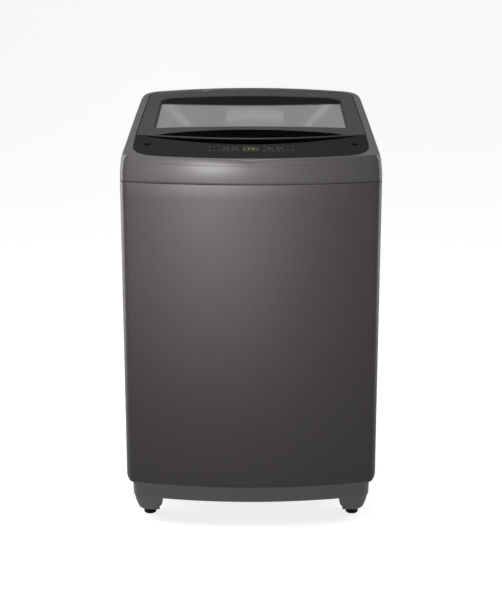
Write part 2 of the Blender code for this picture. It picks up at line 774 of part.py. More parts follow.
def bearing_housing():
    profile = [(0.0323, 0.158), (0.064, 0.158), (0.064, 0.163), (0.042, 0.168), (0.042, 0.215)]
    profile += [(0.115, 0.228), (0.115, TUB_BOTTOM - GAP)]
    profile += [(0.0323, TUB_BOTTOM - GAP)]
    return turned("bearing_housing", "cast_aluminium", profile, (0, AXIS_Y), 32)


def ring(name, slot, inner, outer, low, high, segments=32):
    return turned(name, slot, [(inner, low), (outer, low), (outer, high), (inner, high)], (0, AXIS_Y), segments)


def stator():
    """The motor's wound ring, under the bearing housing."""
    return ring("stator", "motor_iron", 0.060, 0.112, 0.134, 0.1577)


def drain_valve():
    x, y = DRAIN_X, DRAIN_Y
    top = TUB_BOTTOM - GAP
    valve = block("drain_valve", "white_plastic", (x - 0.028, y - 0.028, 0.192), (x + 0.028, y + 0.028, top))
    profile = [(0, 0.1785), (0.016, 0.1785), (0.016, 0.20), (0, 0.20)]
    spigot = turned("add_drain_spigot", None, profile, (x, y), 20)
    join(valve, spigot)
    cut(valve, round_cut("cut_valve_way", (x, y), 0.012, 0.17, 0.24, 16))
    return valve


def drain_bellows():
    """The folded sleeve between the tub's valve and the fixed pipe. It shortens as the tub sinks."""
    low, high, folds = 0.1105, 0.1782, 4
    outer = []
    for k in range(folds * 2 + 1):
        outer.append((0.0195 if k % 2 == 0 else 0.0165, low + (high - low) * k / (folds * 2)))
    inner = [(radius - 0.003, z) for radius, z in reversed(outer)]
    turned("drain_bellows", "black_rubber", outer + inner, (DRAIN_X, DRAIN_Y), 14)


def drain_outlet():
    """The fixed pipe from under the bellows to the spigot at the back."""
    z = DRAIN_PIPE_Z
    pipe = rod_along("drain_outlet", "black_rubber", (DRAIN_X, DRAIN_Y - 0.02, z), (DRAIN_X, 0.302, z), 0.014)
    riser = turned(
        "add_riser", None, [(0, z), (0.018, z), (0.018, 0.1102), (0, 0.1102)], (DRAIN_X, DRAIN_Y), 20
    )
    join(pipe, riser)
    cut(pipe, rod_along("cut_pipe", None, (DRAIN_X, DRAIN_Y, z), (DRAIN_X, 0.31, z), 0.0105))
    cut(pipe, round_cut("cut_riser", (DRAIN_X, DRAIN_Y), 0.0105, z, 0.12, 16))


# Drum and pulsator


def drum():
    """Perforated wall, balance ring, floor flange and hollow spin shaft: one turning group."""
    centre = (0, AXIS_Y)
    wall = 0.001
    profile = [(DRUM_RADIUS - 0.012 - wall, DRUM_BOTTOM), (DRUM_RADIUS - 0.012, DRUM_BOTTOM)]
    profile += [(DRUM_RADIUS, DRUM_BOTTOM + 0.04), (DRUM_RADIUS, DRUM_TOP), (DRUM_RADIUS - wall, DRUM_TOP)]
    profile += [(DRUM_RADIUS - wall, DRUM_BOTTOM + 0.04)]
    shell = turned("drum_shell", "stainless_steel", profile, centre)
    low = DRUM_TOP + GAP
    outline = [(RING_INNER, low + 0.006), (RING_INNER + 0.006, low), (DRUM_RADIUS + 0.002, low)]
    outline += [(DRUM_RADIUS + 0.002, RING_TOP - 0.006), (DRUM_RADIUS - 0.004, RING_TOP)]
    outline += [(RING_INNER + 0.006, RING_TOP), (RING_INNER, RING_TOP - 0.006)]
    balance = turned("balance_ring", "white_plastic", outline, centre)
    top = DRUM_BOTTOM - GAP
    profile = [(0.0158, 0.2470), (0.038, 0.2470), (0.042, 0.272), (0.205, top - 0.0055), (0.207, top - 0.012)]
    profile += [(0.216, top - 0.012), (0.220, top), (0.0158, top)]
    flange = turned("drum_flange", "cast_aluminium", profile, centre)
    shaft = ring("spin_shaft", "bearing_steel", 0.0108, 0.0155, 0.160, top - 0.003, 24)
    filters = []
    for name, side in (("lint_filter_left", -1), ("lint_filter_right", 1)):
        x_in, x_out = sorted((side * 0.203, side * 0.2275))
        filters.append(block(name, "white_plastic", (x_in, AXIS_Y - 0.03, 0.45), (x_out, AXIS_Y + 0.03, 0.62)))
    hang(pivot("axis_drum", (0, AXIS_Y, DRUM_BOTTOM)), shell, balance, flange, shaft, *filters)


def vane(name, turn):
    """One raised wing of the pulsator, tapering from the middle to the rim."""
    rings = []
    for radius, half, top in ((0.025, 0.016, 0.334), (0.09, 0.012, 0.330), (0.160, 0.009, 0.316)):
        ring_points = []
        for across, z in ((-half, 0.300), (half, 0.300), (half * 0.4, top), (-half * 0.4, top)):
            x = radius * math.cos(turn) - across * math.sin(turn)
            y = radius * math.sin(turn) + across * math.cos(turn)
            ring_points.append((x, AXIS_Y + y, z))
        rings.append(ring_points)
    return loft(name, None, rings)


def pulsator():
    """The finned disc in the drum's floor, its shaft and the motor's rotor cup."""
    centre = (0, AXIS_Y)
    profile = [(0, 0.2990), (0.020, 0.2990), (0.150, 0.2940), (0.172, 0.2900), (0.175, 0.294)]
    profile += [(0.165, 0.300), (0.060, 0.310), (0.030, 0.332), (0, 0.336)]
    disc = turned("pulsator", "white_plastic", profile, centre)
    for k in range(4):
        join(disc, vane(f"add_vane_{k}", 2 * math.pi * k / 4))
    shaft = turned(
        "drive_shaft", "bearing_steel", [(0, 0.108), (0.010, 0.108), (0.010, 0.2987), (0, 0.2987)], centre, 24
    )
    profile = [(0.0103, 0.116), (0.125, 0.116), (0.125, 0.160)]
    profile += [(0.1215, 0.160), (0.1215, 0.119), (0.0103, 0.119)]
    rotor = turned("rotor", "galvanised_steel", profile, centre)
    hang(pivot("axis_pulsator", (0, AXIS_Y, 0.3)), disc, shaft, rotor)


def tub_group():
    """What hangs on the springs and doesn't turn."""
    pieces = [outer_tub(), tub_cover(), bearing_housing(), stator(), drain_valve()]
    pieces.append(ring("upper_bearing", "bearing_steel", 0.0158, 0.0320, 0.212, 0.227, 24))
    pieces.append(ring("lower_bearing", "bearing_steel", 0.0158, 0.0320, 0.162, 0.177, 24))
    pieces.append(ring("shaft_seal", "black_rubber", 0.0158, 0.0320, 0.2285, 0.2400, 24))
    hang(pivot("axis_tub", (0, AXIS_Y, TUB_BOTTOM)), *pieces)


def main():
    for old in list(bpy.data.objects):
        bpy.data.objects.remove(old, do_unlink=True)
    cabinet_shell()
    back_cover()
    cord_gland()
    base_frame()
    leveling_feet()
    top_cover()
    control_panel()
    display_window()
    control_board()
    round_buttons()
    function_keys()
    lid()
    dispenser()
    inlet_valve()
    small_controls()
    corner_brackets()
    suspension_rods()
    suspension_springs()
    drain_outlet()
    drain_bellows()
    tub_group()
    drum()
    pulsator()


main()
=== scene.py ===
# %% [markdown]
# # A top load washing machine
#
# This lesson dresses a working model of a washing machine. The model comes in as a frame of plain
# solids that already move as the real machine does: a lid on a hinge, a drum that spins, a tub that
# bounces on its rods. Each step below makes one visible piece as a surface worked out with numpy,
# gives it a finish made of shader nodes, and lets it ride on the right body of the frame.

# %% Load the frame
import json
import math

import bpy
import numpy as np
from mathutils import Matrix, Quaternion, Vector


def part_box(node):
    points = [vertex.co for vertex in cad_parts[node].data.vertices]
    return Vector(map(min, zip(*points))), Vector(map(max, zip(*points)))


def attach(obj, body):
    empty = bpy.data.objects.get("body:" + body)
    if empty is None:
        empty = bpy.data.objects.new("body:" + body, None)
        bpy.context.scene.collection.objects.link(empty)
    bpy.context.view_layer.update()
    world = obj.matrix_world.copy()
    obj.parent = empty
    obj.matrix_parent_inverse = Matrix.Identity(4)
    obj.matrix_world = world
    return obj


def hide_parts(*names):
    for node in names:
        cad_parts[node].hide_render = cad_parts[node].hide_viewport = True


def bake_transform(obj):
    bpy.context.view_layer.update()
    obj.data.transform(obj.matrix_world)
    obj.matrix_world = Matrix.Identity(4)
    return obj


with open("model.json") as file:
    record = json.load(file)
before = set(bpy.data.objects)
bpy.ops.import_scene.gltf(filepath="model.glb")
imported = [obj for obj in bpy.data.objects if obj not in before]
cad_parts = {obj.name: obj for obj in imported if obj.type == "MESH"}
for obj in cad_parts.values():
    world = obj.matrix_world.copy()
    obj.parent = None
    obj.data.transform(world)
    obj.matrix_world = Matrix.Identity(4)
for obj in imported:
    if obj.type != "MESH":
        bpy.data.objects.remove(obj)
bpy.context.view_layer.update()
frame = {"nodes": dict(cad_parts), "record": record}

# %% [markdown]
# ## Sizes
#
# X runs to the machine's right, -Y is the front and Z is up, all in metres. The machine's outer form
# follows from a few numbers: a bowed front, a top that rises to the back, and top walls that lean in.
# Keeping them in one place means that neighbouring pieces always meet.

# %% Sizes of the outer form
HALF_WIDTH, FRONT_Y, REAR_Y, HEIGHT = 0.295, -0.303, 0.303, 0.960
DEPTH = REAR_Y - FRONT_Y
BOW = 0.038
CORNER_X, CORNER_Y = 0.017, 0.030
CABINET_BOTTOM, BASE_BOTTOM, SEAM_Z = 0.110, 0.068, 0.835
TOP_SLOPE, TOP_CROWN, PANEL_FRONT_Y = 0.090, 0.0138, -0.288
LEAN, LEAN_HEIGHT = 0.018, 0.105
PANEL_HALF, LID_SEAM_Y, LID_REAR_Y, STRIP_Y, RIM = 0.267, -0.100, 0.277, 0.2865, 0.019
PANEL_CORNER_X, PANEL_CORNER_Y = 0.206, -0.186
SIDE_START_Y, LID_SEAM_ALONG = -0.239, 0.2752
DECK_DROP = 0.022
AXIS_Y, MOUTH_RADIUS, MOUTH_FRONT_Y = 0.028, 0.1985, -0.088
DECK_FRONT_Y = -0.0945
print("width, depth and height:", 2 * HALF_WIDTH, DEPTH, HEIGHT, "m")

# %% [markdown]
# ## The heights of the top skin
#
# The top is one gentle surface: it climbs towards the back, and its middle is higher than its sides
# by an amount that grows with depth. Every piece on top of the machine asks this one function for
# its height, so the panel, the lid and the glass all share the same crown.

# %% Shape functions of the top
def top_z(x, y):
    """Height of the top skin: a slope along y, plus a crown that is a parabola across x."""
    front = HEIGHT - TOP_CROWN - TOP_SLOPE * (REAR_Y - PANEL_FRONT_Y)
    along = np.clip((y - FRONT_Y) / DEPTH, 0, 1)
    return front + TOP_SLOPE * (y - PANEL_FRONT_Y) + TOP_CROWN * along * (1 - (x / 0.29) ** 2)


def lean(z):
    """How far the top walls have leant in: the square of the height over the seam."""
    return LEAN * (np.maximum(z - SEAM_Z, 0) / LEAN_HEIGHT) ** 2


def lid_side(y, clearance=0.0):
    """Half width of the lid at a depth: the leaning wall less the rim."""
    return HALF_WIDTH - lean(top_z(0.28, y)) - RIM + clearance


def lid_lip(x):
    """Front edge of the lid: a parabola in x that stops at the seam."""
    return np.minimum(LID_SEAM_Y, -0.141 + 0.041 * (x / 0.25) ** 2)


def recess_front(x):
    """Rear edge of the control panel, where the hand recess begins: a parabola in x."""
    return -0.187 + 0.070 * (x / 0.24) ** 2


def smooth(t):
    """A smooth step from 0 to 1: 3t^2 - 2t^3, held flat outside."""
    t = np.clip(t, 0, 1)
    return t * t * (3 - 2 * t)


def bezier(a, b, c, t):
    """A quadratic curve from a to c that leaves and arrives in the direction of b."""
    return (1 - t) ** 2 * a + 2 * t * (1 - t) * b + t * t * c


def at(xy, z):
    """Plan points lifted to a height, which may differ from point to point."""
    return np.column_stack([xy, z + np.zeros(len(xy))])


def on_skin(xy, drop=0.0):
    """Plan points lifted to the top skin, less a drop."""
    return at(xy, top_z(xy[:, 0], xy[:, 1]) - drop)


def closed_section(face, behind):
    """Two sheets, each (x, y, z) over one grid, as the two halves of a closed section."""
    halves = [np.stack(np.broadcast_arrays(*sheet), -1) for sheet in (face, behind)]
    return np.concatenate([halves[0], halves[1][:, ::-1]], 1)


def hexagon_reach(turn):
    """Distance to a hexagon's outline at each angle, for one unit across to a flat."""
    return 1 / np.cos((turn + math.pi / 6) % (math.pi / 3) - math.pi / 6)


print("top skin at the back:", round(float(top_z(0.0, REAR_Y)), 4), "m")

# %% [markdown]
# ## From an array of points to a closed solid
#
# Nearly every part here is a closed profile carried along a path: the path gives the rows of a grid
# and the profile its columns. The grid's columns always join up, its rows join up when the path is a
# loop, and otherwise each end gets a flat cap. The sign of the enclosed volume tells whether the
# faces point outwards, so no piece can end up inside out.

# %% Grid to mesh
def turn_outwards(mesh):
    """Flips the mesh if its volume, the sum of det(a, b, c) / 6 over its triangles, is negative."""
    mesh.calc_loop_triangles()
    places = np.empty(len(mesh.vertices) * 3)
    mesh.vertices.foreach_get("co", places)
    corners = np.empty(len(mesh.loop_triangles) * 3, int)
    mesh.loop_triangles.foreach_get("vertices", corners)
    if np.linalg.det(places.reshape(-1, 3)[corners.reshape(-1, 3)]).sum() < 0:
        mesh.flip_normals()


def solid(name, points, faces, sharp=32):
    """An object from points and faces: doubles merged, faces outwards, edges over sharp degrees kept."""
    mesh = bpy.data.meshes.new(name)
    mesh.from_pydata(np.asarray(points).reshape(-1, 3).tolist(), [], faces)
    made = bpy.data.objects.new(name, mesh)
    bpy.context.scene.collection.objects.link(made)
    weld = made.modifiers.new("weld", "WELD")
    weld.merge_threshold = 1e-6
    settle(made, sharp)
    return made


def settle(piece, sharp=32):
    """Applies the piece's modifiers, turns its faces outwards and shades it."""
    graph = bpy.context.evaluated_depsgraph_get()
    mesh = bpy.data.meshes.new_from_object(piece.evaluated_get(graph))
    piece.modifiers.clear()
    old, piece.data = piece.data, mesh
    bpy.data.meshes.remove(old)
    mesh.name = piece.name
    turn_outwards(mesh)
    mesh.shade_smooth()
    mesh.set_sharp_from_angle(angle=math.radians(sharp))


def sweep(name, rows, loop=True, sharp=32):
    """A closed profile (second axis) carried along a path (first axis), as a solid."""
    rows = np.asarray(rows, float)
    count, across = rows.shape[:2]
    here = np.arange(count * across).reshape(count, across)
    right, below = np.roll(here, -1, 1), np.roll(here, -1, 0)
    corner = np.roll(right, -1, 0)
    quads = np.stack([here, right, corner, below], -1)
    if not loop:
        quads = quads[:-1]
    faces = quads.reshape(-1, 4).tolist()
    if not loop:
        faces += [here[0].tolist(), here[-1][::-1].tolist()]
    return solid(name, rows, faces, sharp)


# %% [markdown]
# ## Putting a piece in its place
#
# A piece stands for a solid of the frame, rides on one of its bodies and takes one of the finishes
# below. One call does it all. The functions beside it cut a piece with Booleans, turn a profile about
# an upright axis and make a box with rounded edges.

# %% Dress a body with a piece
def dress(piece, body, finish, replaces=()):
    """Gives the piece its material, its body and the solids that it stands for."""
    piece.data.materials.clear()
    piece.data.materials.append(finish)
    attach(piece, body)
    if replaces:
        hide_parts(*([replaces] if isinstance(replaces, str) else replaces))
    count = sum(len(face.vertices) - 2 for face in piece.data.polygons)
    print(f"{piece.name}: {count} triangles on {body}")
    return piece


def carve(piece, *cutters):
    """Takes the cutters out of the piece with exact Booleans, and removes them."""
    for cutter in cutters:
        step = piece.modifiers.new("carve", "BOOLEAN")
        step.operation, step.solver, step.object = "DIFFERENCE", "EXACT", cutter
    settle(piece)
    for cutter in cutters:
        data = cutter.data
        bpy.data.objects.remove(cutter)
        bpy.data.meshes.remove(data)
    return piece


def turned(name, profile, centre, segments, ripple=None):
    """A closed profile of (radius, height) turned about an upright axis; ripple(r, z, turn) may move it."""
    profile = np.asarray(profile, float)
    turn = np.arange(segments)[:, None] * 2 * math.pi / segments
    radius, height = profile[:, 0] + 0 * turn, profile[:, 1] + 0 * turn
    if ripple:
        radius, height = ripple(radius, height, turn + 0 * radius)
    x, y = radius * np.cos(turn), radius * np.sin(turn)
    return sweep(name, np.stack([centre[0] + x, centre[1] + y, height], -1))


def rounded_box(name, low, high, radius=0.002):
    """A box whose upright edges are rounded: a rounded rectangle carried from low z to high z."""
    (x0, y0, z0), (x1, y1, z1) = low, high
    turn = np.linspace(0, math.pi / 2, 4)[None] + np.arange(4)[:, None] * math.pi / 2
    signs = np.array([(1, 1), (-1, 1), (-1, -1), (1, -1)])
    middle = np.where(signs > 0, (x1, y1), (x0, y0)) - radius * signs
    xy = (middle[:, None] + radius * np.stack([np.cos(turn), np.sin(turn)], -1)).reshape(-1, 2)
    rows = np.stack([np.column_stack([xy, np.full(len(xy), z)]) for z in (z0, z1)])
    return sweep(name, rows, loop=False)


# %% [markdown]
# ## Finishes
#
# A factory finish is never one flat colour. Paint has flakes and a faint orange peel, moulded plastic
# has a fine grain, rolled steel has streaks. One recipe covers them all: a noise mixes two close
# colours and raises a bump, and a second one moves the roughness a little. Each finish then differs
# only in its numbers. The pattern reads Object coordinates, so it stays on the piece as the piece
# moves.

# %% The recipe for a finish
def shader_node(tree, kind, values=None, links=None, data_type=None):
    """A new shader node, with its inputs set to values or linked to other nodes' outputs."""
    made = tree.nodes.new("ShaderNode" + kind)
    if data_type:
        made.data_type = data_type
    for name, value in (values or {}).items():
        made.inputs[name].default_value = value
    for name, output in (links or {}).items():
        tree.links.new(output, made.inputs[name])
    return made


def finish(name, dark, light, rough, metal=0.0, grain=400.0, stretch=(1, 1, 1), bump=0.1, spread=0.08,
           coat=0.0, coat_rough=0.1, specular=0.5, flakes=None, cloud=6.0):
    """Two colours mixed by noise, roughness moved by a slow noise, and a bump from the fine grain."""
    made = bpy.data.materials.new(name)
    made.use_nodes = True
    tree = made.node_tree
    place = shader_node(tree, "TexCoord").outputs["Object"]
    turn = shader_node(tree, "Mapping", {"Scale": stretch}, {"Vector": place}).outputs["Vector"]
    fine = shader_node(tree, "TexNoise", {"Scale": grain, "Detail": 3.0}, {"Vector": turn}).outputs["Fac"]
    slow = shader_node(tree, "TexNoise", {"Scale": cloud, "Detail": 2.0}, {"Vector": place}).outputs["Fac"]
    tint = shader_node(tree, "Mix", {"A": (*dark, 1), "B": (*light, 1)}, {"Factor": fine}, "RGBA")
    if flakes:
        size, colour = flakes
        cells = shader_node(tree, "TexVoronoi", {"Scale": size}, {"Vector": place})
        chosen = shader_node(tree, "MapRange", {"From Min": 0.22, "From Max": 0.12},
                             {"Value": cells.outputs["Distance"]})
        tint = shader_node(tree, "Mix", {"B": (*colour, 1)},
                           {"Factor": chosen.outputs["Result"], "A": tint.outputs["Result"]}, "RGBA")
    dull = shader_node(tree, "MapRange", {"To Min": max(rough - spread, 0.02), "To Max": rough + spread},
                       {"Value": slow})
    raised = shader_node(tree, "Bump", {"Strength": bump, "Distance": 0.0002}, {"Height": fine})
    shader = tree.nodes["Principled BSDF"]
    tree.links.new(tint.outputs["Result"], shader.inputs["Base Color"])
    tree.links.new(dull.outputs["Result"], shader.inputs["Roughness"])
    tree.links.new(raised.outputs["Normal"], shader.inputs["Normal"])
    for socket, value in (("Metallic", metal), ("Coat Weight", coat), ("Coat Roughness", coat_rough),
                          ("Specular IOR Level", specular)):
        shader.inputs[socket].default_value = value
    return made


# %% The machine's finishes
paint = finish("grey metallic paint", (0.0625, 0.0548, 0.0562), (0.0797, 0.0704, 0.0718), 0.50, 0.6,
               grain=160, bump=0.05, coat=0.06, coat_rough=0.35, specular=0.35,
               flakes=(2200, (0.15, 0.14, 0.14)))
cover_paint = finish("grey cover paint", (0.0572, 0.0515, 0.0528), (0.0730, 0.0664, 0.0678), 0.50, 0.34,
                     grain=220, bump=0.05, coat=0.16, coat_rough=0.24, specular=0.30,
                     flakes=(2200, (0.18, 0.17, 0.17)))
base_plastic = finish("grey base plastic", (0.134, 0.123, 0.125), (0.166, 0.152, 0.154), 0.55, 0.1,
                      grain=900, bump=0.25, specular=0.35)
lid_paint = finish("grey lid paint", (0.024, 0.0232, 0.0236), (0.032, 0.031, 0.0315), 0.46, 0.15,
                   grain=260, bump=0.05, specular=0.12, flakes=(2200, (0.10, 0.096, 0.096)))
panel_black = finish("panel black", (0.0145, 0.0145, 0.0152), (0.019, 0.019, 0.0198), 0.30, 0.0,
                     grain=1200, bump=0.02, spread=0.05, specular=0.0)
# Near black without specular: black on the buttons, the rings round them and the finger band; painted shade
# in the hand recess and on the skirt under the lid's lip.
black_and_painted_shade = finish("black and painted shade", (0.0012, 0.0012, 0.0012), (0.0024, 0.0024, 0.0024), 0.45, 0.0,
                    grain=900, bump=0.05, specular=0.0)
band_black = finish("rear band black", (0.009, 0.009, 0.0095), (0.013, 0.013, 0.0135), 0.40, 0.0,
                    grain=900, bump=0.05, specular=0.0)
key_black = finish("key black", (0.014, 0.014, 0.014), (0.020, 0.020, 0.020), 0.32, 0.0, grain=1500,
                   bump=0.1, specular=0.1)
rubber = finish("rubber", (0.010, 0.010, 0.010), (0.020, 0.020, 0.019), 0.72, 0.0, grain=700, bump=0.4,
                specular=0.3)
steel = finish("drum steel", (0.52, 0.52, 0.51), (0.68, 0.68, 0.67), 0.27, 1.0, grain=90,
               stretch=(1, 1, 26), bump=0.05, cloud=14)
zinc = finish("zinc coated steel", (0.40, 0.41, 0.42), (0.58, 0.59, 0.60), 0.42, 0.9, grain=60, bump=0.06,
              flakes=(120, (0.64, 0.65, 0.66)))
bright_steel = finish("ground steel", (0.45, 0.45, 0.46), (0.62, 0.62, 0.63), 0.22, 1.0, grain=300,
                      stretch=(1, 1, 12), bump=0.08)
aluminium = finish("cast aluminium", (0.48, 0.49, 0.50), (0.66, 0.67, 0.68), 0.5, 0.9, grain=500, bump=0.5)
windings = finish("motor windings", (0.16, 0.07, 0.03), (0.34, 0.17, 0.08), 0.42, 0.7, grain=240,
                  stretch=(1, 1, 7), bump=0.6)
white_plastic = finish("white plastic", (0.70, 0.71, 0.70), (0.78, 0.79, 0.78), 0.42, 0.0, grain=800,
                       bump=0.15)
pale_plastic = finish("pale grey plastic", (0.46, 0.47, 0.47), (0.54, 0.55, 0.55), 0.40, 0.0, grain=800,
                      bump=0.15)
board = finish("circuit board", (0.010, 0.075, 0.030), (0.030, 0.160, 0.070), 0.5, 0.0, grain=260,
               stretch=(1, 6, 1), bump=0.5, flakes=(260, (0.55, 0.45, 0.20)))
marks_grey = finish("printed marks", (0.050, 0.050, 0.052), (0.068, 0.068, 0.071), 0.5, 0.0, grain=2000,
                    bump=0.02)
print("finishes:", len(bpy.data.materials))

# %% [markdown]
# ## Glass, lens and lit bars
#
# The lid's pane is grey tinted safety glass. It transmits with a tint and mirrors the bright room at a
# low angle, which its refraction index takes care of. The display is a smoked lens, almost black, and
# the bars of its figures glow a little.

# %% Glass, lens and lit bars
def clear(name, colour, rough, through, ior=1.5):
    """A principled glass with fine smears in its roughness."""
    darker = tuple(c * 0.94 for c in colour)
    made = finish(name, colour, darker, rough, grain=30, bump=0.0, spread=rough * 0.5)
    shader = made.node_tree.nodes["Principled BSDF"]
    shader.inputs["Transmission Weight"].default_value = through
    shader.inputs["IOR"].default_value = ior
    return made


glass = clear("tinted safety glass", (0.56, 0.56, 0.555), 0.035, 0.92, 1.50)
lens = clear("smoked lens", (0.013, 0.014, 0.010), 0.25, 0.0)
lens.node_tree.nodes["Principled BSDF"].inputs["Specular IOR Level"].default_value = 0.02
lit_bars = finish("lit bars", (0.13, 0.145, 0.015), (0.17, 0.185, 0.02), 0.5, 0.0, grain=900, bump=0.0)
glow = lit_bars.node_tree.nodes["Principled BSDF"]
glow.inputs["Emission Color"].default_value = (0.62, 0.66, 0.05, 1)
glow.inputs["Emission Strength"].default_value = 0.05
print("glass index:", glass.node_tree.nodes["Principled BSDF"].inputs["IOR"].default_value)

# %% [markdown]
# ## One outline for everything that runs round the machine
#
# The cabinet, the base and the top cover share one plan: a bowed front, a tight corner, a straight
# side, a rear corner and the back. The right half is worked out once, as arrays over five stretches,
# and mirrored. Because an inset may differ from point to point, a leaning wall needs nothing more.

# %% The plan outline
SEAM_SPOTS = LID_SEAM_ALONG + np.array([-0.0036, -0.0026, -0.0016, -0.0008, 0.0008, 0.0016])
STRETCHES = [
    np.linspace(0, 1, 48, endpoint=False),
    np.linspace(0, 1, 18, endpoint=False),
    np.sort(np.concatenate([np.linspace(0, 1, 70, endpoint=False), SEAM_SPOTS])),
    np.linspace(0, 1, 16, endpoint=False),
    np.linspace(0, 1, 36),
]
STRETCH = np.repeat(np.arange(5), [len(part) for part in STRETCHES])
ALONG = np.concatenate(STRETCHES)


def pick(*values):
    """For each point of the path, the value worked out for the stretch that it lies on."""
    return np.choose(STRETCH, [value + 0 * ALONG for value in values])


def plan(inset=0.0, rear=REAR_Y, rear_corner=0.014, end_x=0.0):
    """Right half of the outline: parabola, curved corner, line, curved corner, line, moved in by inset."""
    inset = inset + 0 * ALONG
    t, half = ALONG, HALF_WIDTH - inset
    last = half - CORNER_X
    start = FRONT_Y + inset + BOW * (last / half) ** 2
    bend = start + 2 * BOW * last / half**2 * CORNER_X
    side, turn = start + CORNER_Y, rear - rear_corner
    x = pick(last * t, bezier(last, half, half, t), half, bezier(half, half, half - rear_corner, t),
             (half - rear_corner) * (1 - t) + end_x * t)
    y = pick(FRONT_Y + inset + BOW * (last * t / half) ** 2, bezier(start, bend, side, t),
             side + (turn - side) * t, bezier(turn, rear, rear, t), rear)
    return np.stack([x, y], -1)


def both_sides(columns, loop=True):
    """Columns of the right half, as one grid that goes right round, or from left end to right end."""
    right = np.stack(columns, 1)
    mirror = right * (-1, 1, 1)
    if loop:
        return np.concatenate([right, mirror[-2:0:-1]])
    return np.concatenate([mirror[::-1], right[1:]])


print("path points on one side:", len(ALONG))

# %% [markdown]
# ## The cabinet
#
# The cabinet is one sheet of steel wrapped round the front and the sides, with its bottom edge rolled
# in and a narrow flange at the back. A bent sheet is best made as its own cross section, outer face
# up and inner face down, carried round the plan. The small roll at the top makes the dark seam line.

# %% Cabinet sheet
def cabinet_profile():
    """(inset, height) round the section of the sheet: a rolled hem, a straight wall, a rolled top."""
    t = np.linspace(0, 1, 9)
    low = CABINET_BOTTOM
    hem_x, hem_z = bezier(0.0110, 0.0, 0.0, t), bezier(low + 0.0002, low + 0.0006, low + 0.019, t)
    wall = np.array([(0, z) for z in np.linspace(0.18, 0.80, 12)])
    top = np.array([(0, 0.8325), (0.0003, 0.8338), (0.0011, 0.8346), (0.0030, 0.8350), (0.0030, 0.8340),
                    (0.0014, 0.8332), (0.0012, 0.8318)])
    inside = np.array([(0.0011, 0.50), (0.0011, low + 0.021)])
    return np.concatenate([np.column_stack([hem_x, hem_z]), wall, top, inside,
                           np.column_stack([hem_x[::-1] + 0.0011, hem_z[::-1] + 0.0009])[2:]])


hem_share = pick(0.3, 0.3 + 0.7 * smooth(ALONG), 1, 1, 1)
columns = []
for inset, z in cabinet_profile():
    inset = inset * np.where(z < CABINET_BOTTOM + 0.0215, hem_share, 1) + 0 * ALONG
    columns.append(at(plan(inset, 0.300 - inset, 0.005, 0.265), z))
cabinet = sweep("cabinet_skin", both_sides(columns, loop=False), loop=False)
dress(cabinet, "cabinet", paint, "cabinet_shell")

# %% [markdown]
# ## The base
#
# Below the cabinet sits a moulded ring that is set in a little, with a soft shoulder along its top. It
# is another section carried round the same plan.

# %% Base ring
def base_profile():
    """(inset, height) round the section of the base ring, with a soft shoulder and a soft lower edge."""
    t = np.linspace(0, 1, 7)
    top, low = CABINET_BOTTOM - 0.0004, BASE_BOTTOM
    shoulder = np.column_stack([bezier(0.0045, 0.0120, 0.0130, t),
                                bezier(top - 0.0011, top - 0.0030, top - 0.0130, t)])
    foot = np.column_stack([bezier(0.0136, 0.0138, 0.0158, t), bezier(low + 0.0035, low, low, t)])
    return np.concatenate([[(0.0045, top)], shoulder, [(0.0133, 0.086)], foot,
                           [(0.0195, low), (0.0195, top)]])


columns = [at(plan(inset, REAR_Y - inset), z) for inset, z in base_profile()]
base = sweep("base_ring", both_sides(columns))


def along_y(name, x, z, radius, low, high, segments=32):
    """A round bar along Y, used to cut round ways through the back."""
    turn = np.arange(segments) * 2 * math.pi / segments
    ring = np.stack([x + radius * np.cos(turn), 0 * turn, z + radius * np.sin(turn)], -1)
    return sweep(name, np.stack([ring + (0, low, 0), ring + (0, high, 0)]), loop=False)


carve(base, along_y("pipe_way", -0.155, 0.093, 0.0165, 0.26, 0.31))
dress(base, "cabinet", base_plastic, "base_frame")

# %% [markdown]
# ## The legs
#
# A leg runs round its corner of the plan and is closed inside by a rounded corner. The tables give, at
# nine heights, how far its outer faces are set in and where its inner edges lie; between those heights
# they are interpolated. The rear legs are the front ones mirrored, and a little slimmer.

# %% Legs
LEG_LEVELS = np.array([0.0190, 0.0205, 0.0240, 0.0300, 0.0380, 0.0500, 0.0660, 0.0850, 0.1030])
SIDE_INSET = np.array([0.0350, 0.0305, 0.0270, 0.0240, 0.0215, 0.0185, 0.0155, 0.0150, 0.0150])
FACE_INSET = np.array([0.0540, 0.0480, 0.0400, 0.0320, 0.0270, 0.0210, 0.0155, 0.0150, 0.0150])
INNER_X = np.array([0.2300, 0.2296, 0.2290, 0.2275, 0.2195, 0.2120, 0.2088, 0.2060, 0.2050])
INNER_Y = np.array([-0.1640, -0.1615, -0.1580, -0.1545, -0.1520, -0.1500, -0.1490, -0.1480, -0.1480])
REAR_SLIMMER = 0.016


def leg_ring(z, slimmer):
    """The plan from the leg's inner edge round to its rear edge, closed by a rounded inner corner."""
    tables = SIDE_INSET, FACE_INSET, INNER_X, INNER_Y
    side, face, inner, rear = (np.interp(z, LEG_LEVELS, table) for table in tables)
    inner = np.minimum(inner + slimmer, 0.231)
    outline = plan(pick(face, face + (side - face) * ALONG, side, side, side))
    steps = np.arange(len(outline))
    first = np.interp(inner, outline[STRETCH == 0, 0], steps[STRETCH == 0])
    last = np.interp(rear, outline[STRETCH == 2, 1], steps[STRETCH == 2])
    along = np.linspace(first, last, 60)
    x, y = (np.interp(along, steps, column) for column in outline.T)
    t = np.linspace(0, 1, 9)
    back_x, back_y = bezier(inner + 0.010, inner, inner, t), bezier(rear, rear, rear - 0.010, t)
    return np.column_stack([np.append(x, back_x), np.append(y, back_y), np.full(69, z)])


